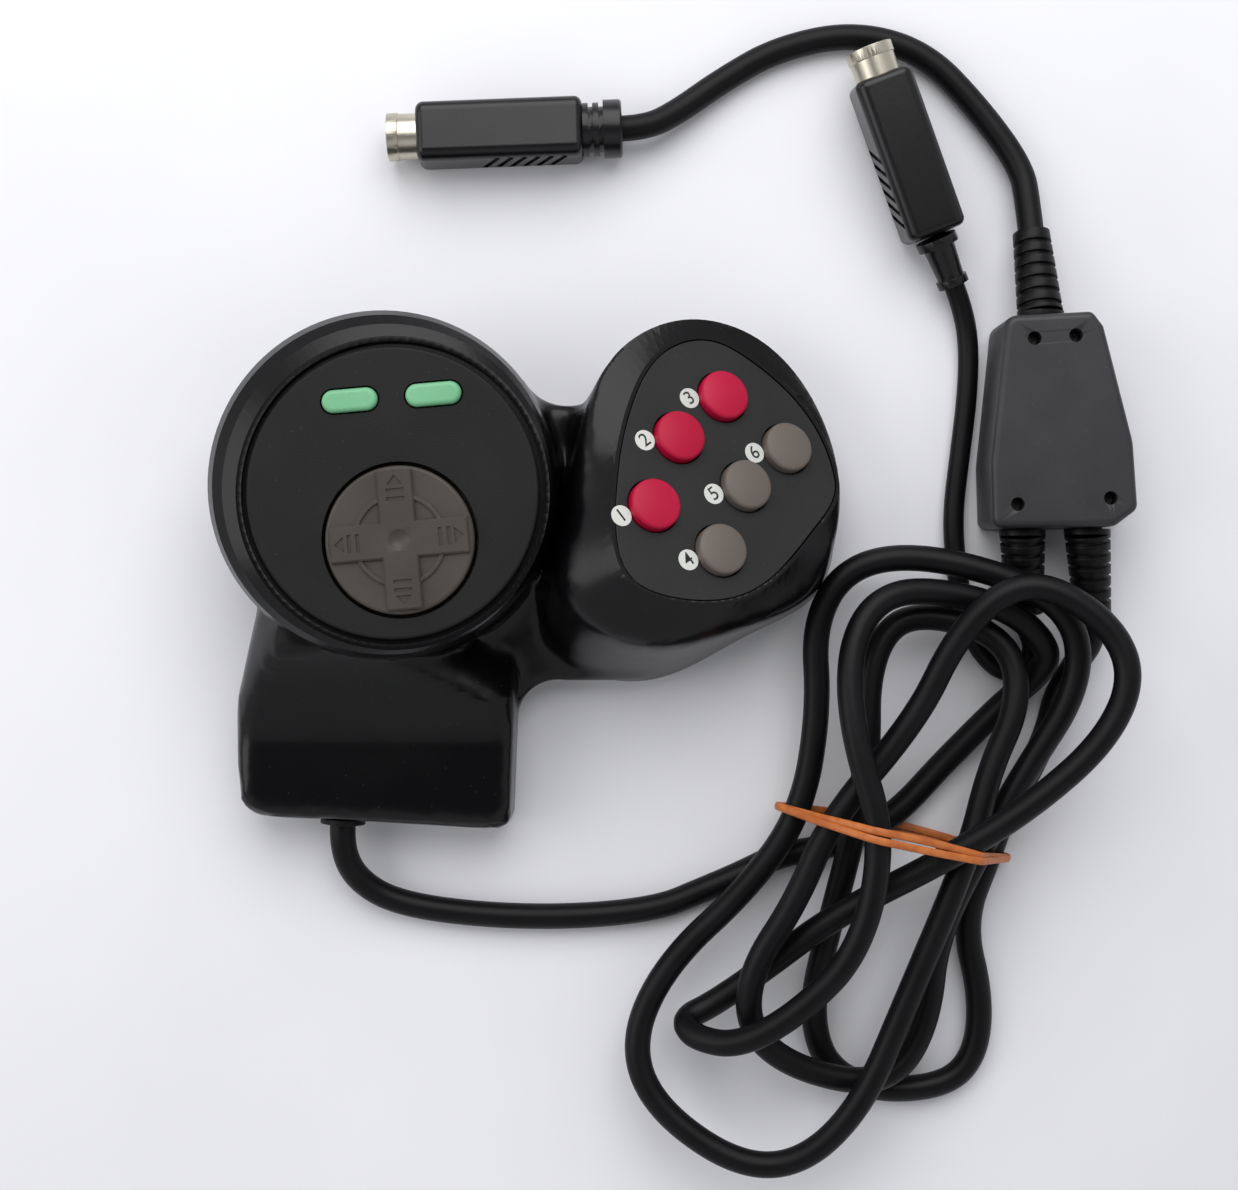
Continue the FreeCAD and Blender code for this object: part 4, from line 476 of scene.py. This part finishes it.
def dress(node, material, body="pad", crease=CREASE, bevel=ROUND_EDGE, reshape=None):
    """Smooth copy of a node's mesh, bevelled along its hard edges, that replaces the node."""
    mesh = bpy.data.meshes.new(node + "_dressed")
    shape = bmesh.new()
    shape.from_mesh(nodes[node].data)
    bmesh.ops.remove_doubles(shape, verts=shape.verts, dist=SAME_POINT)
    bmesh.ops.dissolve_degenerate(shape, edges=shape.edges, dist=NO_LENGTH)
    if reshape:
        reshape(shape)
    shape.to_mesh(mesh)
    shape.free()
    mesh.materials.clear()
    mesh.materials.append(material)
    mesh.polygons.foreach_set("material_index", [0] * len(mesh.polygons))
    mesh.shade_smooth()
    mesh.set_sharp_from_angle(angle=math.radians(crease))
    if reshape:
        keep_hard_edges(mesh)
    piece = bpy.data.objects.new(node + "_dressed", mesh)
    bpy.context.scene.collection.objects.link(piece)
    if bevel:
        soften = piece.modifiers.new("soft edges", "BEVEL")
        soften.width = bevel
        soften.segments = ROUND_STEPS
        soften.limit_method = "WEIGHT" if reshape else "ANGLE"
        soften.angle_limit = math.radians(crease)
        soften.harden_normals = True
    even = piece.modifiers.new("even shading", "WEIGHTED_NORMAL")
    even.keep_sharp = True
    even.weight = FLATNESS_WEIGHT
    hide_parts(node)
    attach(piece, body)
    dressed[node] = piece


# %% [markdown]
# ## Soft moulding of the housing
#
# The real housing has no flat facets: its block, its neck and the foot of its lobe flow into
# one another, as clay would. Sculpting does that by hand. Here the outer skin is cut into
# small triangles and each free corner moves step by step towards the middle of its neighbours,
# least beside the seam, the drum's crown and the leaning face, which have to stay true.

# %% Axes of the leaning face
FACE_AT = Vector((37.2, 19.8, 25.0)) * MM
FACE_LEAN = math.radians(29.0)
FACE_TOWARDS = math.radians(37.0)
face_down = Vector((
    math.cos(FACE_TOWARDS) * math.cos(FACE_LEAN), math.sin(FACE_TOWARDS) * math.cos(FACE_LEAN),
    -math.sin(FACE_LEAN)))
face_across = Vector((-math.sin(FACE_TOWARDS), math.cos(FACE_TOWARDS), 0.0))
face_normal = face_down.cross(face_across)
face_axes = Matrix((face_down, face_across, face_normal)).transposed()
print("face normal", [round(part, 3) for part in face_normal])

# %% Where the skin is free to move
SEAM_LEVEL = 8.0 * MM
ABOVE_SEAM = (SEAM_LEVEL + 0.1 * MM, SEAM_LEVEL + 2.5 * MM)
DRUM_AXIS = Vector((-27.6, 16.6)) * MM
DRUM_REACH = 33.8 * MM
DRUM_CROWN = (20.0 * MM, 24.0 * MM)
BELOW_FACE = (1.0 * MM, 5.0 * MM)


def eased(value, start, end):
    """Smooth step from 0 at start to 1 at end."""
    share = min(max((value - start) / (end - start), 0.0), 1.0)
    return share * share * (3.0 - 2.0 * share)


def skin_freedom(place):
    """How far a point of the outer skin may follow its neighbours, from 0 to 1."""
    freedom = eased(place.z, *ABOVE_SEAM)
    if (place.xy - DRUM_AXIS).length < DRUM_REACH:
        freedom *= 1.0 - eased(place.z, *DRUM_CROWN)
    depth = (FACE_AT - place).dot(face_normal)
    return freedom * eased(depth, *BELOW_FACE)


# %% The outer skin
# Pieces that close the housing's openings, so that its inner walls see no open space.
CLOSING = (
    "lower_housing", "dpad_faceplate", "button_faceplate", "dpad", "select_key", "start_key",
    "button_1", "button_2", "button_3", "button_4", "button_5", "button_6", "lead_grommet")
FULL_LENGTH = 0.5
RAY_START = 0.02 * MM
RAY_LEANS = (0.6, 1.4)
FREE_RAYS = 2
FILL_ROUNDS = 6


def outer_faces(shape):
    """Faces of the open skin, which see the sky in some of ten directions."""
    closed = shape.copy()
    for name in CLOSING:
        closed.from_mesh(nodes[name].data)
    tree = BVHTree.FromBMesh(closed)
    closed.free()
    found = set()
    for face in shape.faces:
        centre = face.calc_center_median()
        if face.normal.length < FULL_LENGTH:
            continue
        side = face.normal.orthogonal().normalized()
        other = face.normal.cross(side)
        rays = [face.normal, face.normal + Vector((0, 0, 2))]
        for lean in RAY_LEANS:
            rays += [face.normal + way * lean for way in (side, other, -side, -other)]
        start = centre + face.normal * RAY_START
        if sum(tree.ray_cast(start, ray)[0] is None for ray in rays) >= FREE_RAYS:
            found.add(face)
    for _ in range(FILL_ROUNDS):
        found |= {
            face for face in shape.faces if face not in found and sum(
                other in found for edge in face.edges for other in edge.link_faces) >= 2}
    return found


# %% Refining and softening the skin
SKIN_EDGE = 1.3 * MM
SKIN_MERGE = 0.45 * MM
CUT_ROUNDS = 9
WELD_ROUNDS = 4
WELD_FREEDOM = 0.3
SPREAD_ROUNDS = 3
SKIN_STEPS = 26
STEP_SHARE = 0.5
LARGEST_GAP = 8


def refine_skin(shape, skin):
    """Cuts the skin's long edges, welds its short ones, and gives the layer that marks it."""
    shape.faces.index_update()
    marked = {face.index for face in skin}
    layer = shape.faces.layers.int.new("skin")
    for face in shape.faces:
        face[layer] = face.index in marked
    for _ in range(CUT_ROUNDS):
        layer = shape.faces.layers.int["skin"]
        skin = [
            face for face in shape.faces
            if face[layer] and skin_freedom(face.calc_center_median()) > 0.0]
        skin_edges = {edge for face in skin for edge in face.edges}
        long_edges = [
            edge for edge in shape.edges
            if edge in skin_edges and edge.calc_length() > SKIN_EDGE]
        if not long_edges:
            break
        bmesh.ops.subdivide_edges(shape, edges=long_edges, cuts=1)
        bmesh.ops.triangulate(
            shape, faces=[face for face in shape.faces if len(face.verts) > 3])
    for _ in range(WELD_ROUNDS):
        weld_short_edges(shape, layer)
    return layer


def weld_short_edges(shape, layer):
    """Welds the ends of short skin edges, each apart from the others so that nothing folds."""
    free = {corner for corner, freedom in free_corners(shape, layer) if freedom > WELD_FREEDOM}
    short = [
        edge for edge in shape.edges
        if edge.calc_length() < SKIN_MERGE and all(corner in free for corner in edge.verts)]
    used, welds = set(), {}
    for edge in sorted(short, key=lambda edge: (edge.calc_length(), edge.index)):
        first, last = edge.verts
        around = {link.other_vert(first) for link in first.link_edges}
        beyond = {link.other_vert(last) for link in last.link_edges}
        if len(around & beyond) == 2 and not used & (around | beyond):
            used |= around | beyond
            first.co = (first.co + last.co) / 2
            welds[last] = first
    bmesh.ops.weld_verts(shape, targetmap=welds)
    shape.edges.index_update()


def free_corners(shape, layer):
    """Corners that mostly skin faces meet at, each with its freedom."""
    corners = [
        (corner, skin_freedom(corner.co)) for corner in shape.verts
        if 2 * sum(face[layer] for face in corner.link_faces) > len(corner.link_faces)]
    return [(corner, freedom) for corner, freedom in corners if freedom > 0.0]


def soften_skin(shape):
    """Refines the outer skin and lets its free corners settle between their neighbours."""
    layer = refine_skin(shape, outer_faces(shape))
    shape.verts.index_update()
    places = np.array([corner.co for corner in shape.verts])
    freedom = np.zeros((len(places), 1))
    for corner, share in free_corners(shape, layer):
        freedom[corner.index] = share
    for _ in range(SPREAD_ROUNDS):
        for corner in shape.verts:
            if freedom[corner.index] == 0.0:
                near = [freedom[edge.other_vert(corner).index, 0] for edge in corner.link_edges]
                if 2 * sum(share > 0.0 for share in near) > len(near):
                    freedom[corner.index] = skin_freedom(corner.co)
    pairs = np.array([[corner.index for corner in edge.verts] for edge in shape.edges])
    pairs = pairs[(freedom[pairs[:, 0], 0] > 0) | (freedom[pairs[:, 1], 0] > 0)]
    here = np.concatenate([pairs[:, 0], pairs[:, 1]])
    beside = np.concatenate([pairs[:, 1], pairs[:, 0]])
    count = np.maximum(np.bincount(here, minlength=len(places)), 1)[:, None]
    for _ in range(SKIN_STEPS):
        middle = np.stack([
            np.bincount(here, weights=places[beside, axis], minlength=len(places))
            for axis in range(3)], axis=1) / count
        places += (middle - places) * STEP_SHARE * freedom
    for corner, place in zip(shape.verts, places):
        corner.co = place
    shape.faces.layers.int.remove(layer)
    gaps = [edge for edge in shape.edges if len(edge.link_faces) == 1]
    bmesh.ops.holes_fill(shape, edges=gaps, sides=LARGEST_GAP)
    print("free corners", int((freedom > 0).sum()), "of", len(places))


# %% Pieces of the pad
dress("upper_housing", gloss_black, bevel=0.00025, reshape=soften_skin)
dress("lower_housing", gloss_black)
dress("dpad_faceplate", drum_matte)
dress("button_faceplate", lobe_matte)
dress("dpad", taupe, body="disc", bevel=0.00012)
dress("select_key", key_green, body="select_key", bevel=0.00015)
dress("start_key", key_green, body="start_key", bevel=0.00015)
for number in (1, 2, 3):
    dress(f"button_{number}", button_red, body=f"button_{number}", bevel=0.00015)
for number in (4, 5, 6):
    dress(f"button_{number}", button_grey, body=f"button_{number}", bevel=0.00015)
dress("lead_grommet", lead_rubber, bevel=0.0002)
print("dressed", len(dressed), "pieces of the pad")

# %% [markdown]
# ## Round labels
#
# A small pale disc beside each fire button carries a plain number. Geometry Nodes put one thin
# disc on every point of a small mesh, and the discs are then kept as a plain mesh. The numbers
# are text, made a mesh and laid on the discs.

# %% Places of the labels on the leaning plate
LABELS = (
    (-23.95, 3.86), (-9.83, 12.83), (4.07, 14.51),
    (-18.08, -10.24), (-4.71, -3.14), (8.53, -1.45))
LABEL_RADIUS = 2.05 * MM
LABEL_THICK = 0.06 * MM
LABEL_SIDES = 48
plate_level = max(
    (vertex.co - FACE_AT).dot(face_normal) for vertex in nodes["button_faceplate"].data.vertices)
label_places = [
    FACE_AT + face_down * across * MM + face_across * up * MM + face_normal * plate_level
    for across, up in LABELS]
print("plate level", round(plate_level / MM, 3), "mm")


# %% Label discs
def label_tree():
    """Geometry Nodes that put a thin disc on every point."""
    tree = bpy.data.node_groups.new("label discs", "GeometryNodeTree")
    tree.interface.new_socket(name="Geometry", in_out="INPUT", socket_type="NodeSocketGeometry")
    for label, kind, value in (
            ("Disc Radius", "NodeSocketFloat", 0.002),
            ("Disc Thickness", "NodeSocketFloat", 0.0001),
            ("Facing", "NodeSocketVector", (0.0, 0.0, 0.0))):
        socket = tree.interface.new_socket(name=label, in_out="INPUT", socket_type=kind)
        socket.default_value = value
    tree.interface.new_socket(name="Finish", in_out="INPUT", socket_type="NodeSocketMaterial")
    tree.interface.new_socket(name="Geometry", in_out="OUTPUT", socket_type="NodeSocketGeometry")
    given = tree.nodes.new("NodeGroupInput")
    result = tree.nodes.new("NodeGroupOutput")
    disc = tree.nodes.new("GeometryNodeMeshCylinder")
    disc.inputs["Vertices"].default_value = LABEL_SIDES
    scatter = tree.nodes.new("GeometryNodeInstanceOnPoints")
    solid = tree.nodes.new("GeometryNodeRealizeInstances")
    finish = tree.nodes.new("GeometryNodeSetMaterial")
    tree.links.new(given.outputs["Disc Radius"], disc.inputs["Radius"])
    tree.links.new(given.outputs["Disc Thickness"], disc.inputs["Depth"])
    tree.links.new(given.outputs["Geometry"], scatter.inputs["Points"])
    tree.links.new(disc.outputs["Mesh"], scatter.inputs["Instance"])
    tree.links.new(given.outputs["Facing"], scatter.inputs["Rotation"])
    tree.links.new(scatter.outputs["Instances"], solid.inputs["Geometry"])
    tree.links.new(solid.outputs["Geometry"], finish.inputs["Geometry"])
    tree.links.new(given.outputs["Finish"], finish.inputs["Material"])
    tree.links.new(finish.outputs["Geometry"], result.inputs["Geometry"])
    return tree


def grown(name, places, tree, values):
    """Plain mesh object that a Geometry Nodes tree makes from points, with its named inputs set."""
    seed_mesh = bpy.data.meshes.new(name + "_points")
    seed_mesh.from_pydata([tuple(place) for place in places], [], [])
    seed = bpy.data.objects.new(name + "_points", seed_mesh)
    bpy.context.scene.collection.objects.link(seed)
    grow = seed.modifiers.new(name, "NODES")
    grow.node_group = tree
    for socket in tree.interface.items_tree:
        if socket.in_out == "INPUT" and socket.name in values:
            grow[socket.identifier] = values[socket.name]
    depsgraph = bpy.context.evaluated_depsgraph_get()
    mesh = bpy.data.meshes.new_from_object(seed.evaluated_get(depsgraph))
    mesh.name = name
    seed.modifiers.remove(grow)
    bpy.data.objects.remove(seed)
    piece = bpy.data.objects.new(name, mesh)
    bpy.context.scene.collection.objects.link(piece)
    return piece


label_discs = grown("label_discs", label_places, label_tree(), {
    "Disc Radius": LABEL_RADIUS, "Disc Thickness": LABEL_THICK,
    "Facing": tuple(face_axes.to_euler()), "Finish": label_white})
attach(label_discs, "pad")
print("label discs", len(LABELS), "faces", len(label_discs.data.polygons))

# %% Numbers on the labels
NUMBER_SIZE = 3.8 * MM
NUMBER_THICK = 0.02 * MM
NUMBER_BOLD = 0.012 * MM
NUMBER_WELD = 1e-7
number_shape = bmesh.new()
for number, place in enumerate(label_places, 1):
    words = bpy.data.curves.new(f"number_{number}", "FONT")
    words.body = str(number)
    words.size = NUMBER_SIZE
    words.extrude = NUMBER_THICK
    words.offset = NUMBER_BOLD
    words.align_x = "CENTER"
    words.align_y = "CENTER"
    writing = bpy.data.objects.new(f"number_{number}", words)
    bpy.context.scene.collection.objects.link(writing)
    depsgraph = bpy.context.evaluated_depsgraph_get()
    glyph = bpy.data.meshes.new_from_object(writing.evaluated_get(depsgraph))
    glyph.transform(Matrix.Translation(place + face_normal * LABEL_THICK / 2) @ face_axes.to_4x4())
    number_shape.from_mesh(glyph)
    bpy.data.objects.remove(writing)
number_mesh = bpy.data.meshes.new("label_numbers")
bmesh.ops.remove_doubles(number_shape, verts=number_shape.verts, dist=NUMBER_WELD)
number_shape.to_mesh(number_mesh)
number_shape.free()
number_mesh.materials.clear()
number_mesh.materials.append(label_ink)
label_numbers = bpy.data.objects.new("label_numbers", number_mesh)
bpy.context.scene.collection.objects.link(label_numbers)
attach(label_numbers, "pad")
print("number faces", len(number_mesh.polygons))

# %% [markdown]
# ## Fork box and plugs
#
# The lead divides in a two-part box with a sliding switch at its far end, and its two round
# plugs have moulded grips with slanted grooves. Their forms come from the construction model;
# satin plastic, glossy rubber and plated shrouds tell them apart.

# %% Pieces of the fork box and the plugs
BOX_CREASE = 16.0
dress("box_lid", box_black, crease=BOX_CREASE)
dress("box_tray", box_black, crease=BOX_CREASE)
for letter in "abc":
    dress(f"box_sleeve_{letter}", sleeve_rubber)
dress("box_switch_knob", box_black, body="mode_knob", bevel=0.0001)
dress("box_switch_body", plated, bevel=0.0001)
for number in (1, 2):
    dress(f"plug_{number}_grip", plug_rubber, bevel=0.00012)
    dress(f"plug_{number}_neck", plug_rubber, bevel=0.0001)
    dress(f"plug_{number}_shroud", plated, bevel=0.00008)
    dress(f"plug_{number}_insert", box_black, bevel=0.00006)
    dress(f"plug_{number}_pins", plated, bevel=0.0)
print("dressed", len(dressed), "pieces in all")

# %% Finishes of the pieces that stay as they are
KEPT = {
    "dpad_pivot_post": plated, "dpad_pivot_ball": plated, "dpad_membrane": silicone,
    "key_membrane": silicone, "button_membrane": silicone, "main_board": board_green,
    "button_board": board_green, "box_board": board_green, "controller_chip": chip_black,
    "housing_screws": screw_steel, "board_screws": screw_steel, "box_screws": dark_steel,
    "lead_socket": cream_plastic, "lead_cores": core_jacket, "board_link": core_jacket,
    "box_cores": core_jacket, "box_terminals": plated}
for node, material in KEPT.items():
    nodes[node].data.materials.clear()
    nodes[node].data.materials.append(material)
print("kept", len(KEPT), "nodes with new finishes")

# %% [markdown]
# ## Leads in place
#
# Each lead takes the rubber finish and moves with the pad, and the model's tubes are hidden. The
# long lead carries the rubber band and the fork box, and each short lead ends in its own plug.

# %% Leads in their rubber
for lead in (long_lead, first_plug_lead, second_plug_lead):
    lead.data.materials.append(lead_rubber)
    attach(lead, "pad")
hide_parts("pad_lead", "lead_hank")
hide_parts("plug_1_lead")
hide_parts("plug_2_lead")
print("leads", len(lead_lines))

# %% [markdown]
# ## Rubber band around the bundle
#
# A rubber band holds the bundle at its waist. It lies doubled, and its two strands part a
# little on the top before they meet again at the sides. Its path is the outline of the
# construction model's band; both strands are swept along it, one outside the other.

# %% Path of the rubber band
BAND_STATIONS = 120
FLAT_TURN = 1e-12


def hull_outline(points):
    """Corners of the convex outline around level points, anticlockwise."""
    points = sorted(points)
    halves = []
    for row in (points, points[::-1]):
        half = []
        for point in row:
            while len(half) > 1 and (
                    (half[-1][0] - half[-2][0]) * (point[1] - half[-2][1])
                    - (half[-1][1] - half[-2][1]) * (point[0] - half[-2][0])) <= FLAT_TURN:
                half.pop()
            half.append(point)
        halves += half[:-1]
    return [Vector(point) for point in halves]


def even_stations(corners, count):
    """Evenly spaced points round a closed chain of corners."""
    ends = corners[1:] + corners[:1]
    lengths = [(end - corner).length for corner, end in zip(corners, ends)]
    step = sum(lengths) / count
    places, walked, edge = [], 0.0, 0
    for index in range(count):
        goal = index * step
        while walked + lengths[edge] < goal:
            walked += lengths[edge]
            edge += 1
        places.append(corners[edge].lerp(ends[edge], (goal - walked) / lengths[edge]))
    return places


band_along = Vector((1.0, TIE_SLOPE, 0.0)).normalized()
band_across = Vector((-band_along.y, band_along.x, 0.0))
band_points = [vertex.co for vertex in nodes["hank_tie"].data.vertices]
band_line = sum(point.dot(band_across) for point in band_points) / len(band_points)
band_path = even_stations(
    hull_outline({(round(point.dot(band_along), 7), round(point.z, 7)) for point in band_points}),
    BAND_STATIONS)
print("band path", len(band_path), "stations")


# %% Strands of the rubber band
BAND_HALF_WIDTH = 0.78
BAND_HALF_THICK = 0.34
BAND_SECTION = 10
BAND_SINK = 0.35
MIDDLE_DROP = 0.7
UNDER_STRAND = (-0.55, 0.70)
OVER_STRAND = (1.25, 0.0)


def band_strand(shape, spread, rise):
    """Adds one closed strand; spread and rise give its shift across and outwards, in mm."""
    rings = []
    low = min(place.x for place in band_path)
    width = max(place.x for place in band_path) - low
    for index, place in enumerate(band_path):
        before = band_path[index - 1]
        after = band_path[(index + 1) % BAND_STATIONS]
        tangent = (after - before).normalized()
        outward = Vector((tangent.y, -tangent.x))
        swell = math.sin(math.pi * (place.x - low) / width)
        side = spread * swell
        lift = rise * (1.0 - MIDDLE_DROP * swell) - BAND_SINK
        ring = []
        for corner in range(BAND_SECTION):
            turn = 2 * math.pi * corner / BAND_SECTION
            out = (lift + BAND_HALF_THICK * math.cos(turn)) * MM
            off = band_line + (side + BAND_HALF_WIDTH * math.sin(turn)) * MM
            flat = place + outward * out
            ring.append(shape.verts.new(
                band_along * flat.x + band_across * off + Vector((0, 0, flat.y))))
        rings.append(ring)
    for ring, following in zip(rings, rings[1:] + rings[:1]):
        for corner in range(BAND_SECTION):
            beside = (corner + 1) % BAND_SECTION
            shape.faces.new((ring[corner], following[corner], following[beside], ring[beside]))


band_shape = bmesh.new()
band_strand(band_shape, *UNDER_STRAND)
band_strand(band_shape, *OVER_STRAND)
bmesh.ops.recalc_face_normals(band_shape, faces=band_shape.faces)
band_mesh = bpy.data.meshes.new("rubber_band")
band_shape.to_mesh(band_mesh)
band_shape.free()
band_mesh.materials.append(tie_rubber)
band_mesh.shade_smooth()
rubber_band = bpy.data.objects.new("rubber_band", band_mesh)
bpy.context.scene.collection.objects.link(rubber_band)
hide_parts("hank_tie")
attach(rubber_band, "pad")
print("rubber band faces", len(band_mesh.polygons))

# %% What each lead carries
box_pieces = [dressed[name] for name in (
    "box_lid", "box_tray", "box_sleeve_a", "box_sleeve_b", "box_sleeve_c", "box_switch_knob",
    "box_switch_body")]
box_pieces += [
    nodes[name] for name in ("box_board", "box_screws", "box_cores", "box_terminals")]
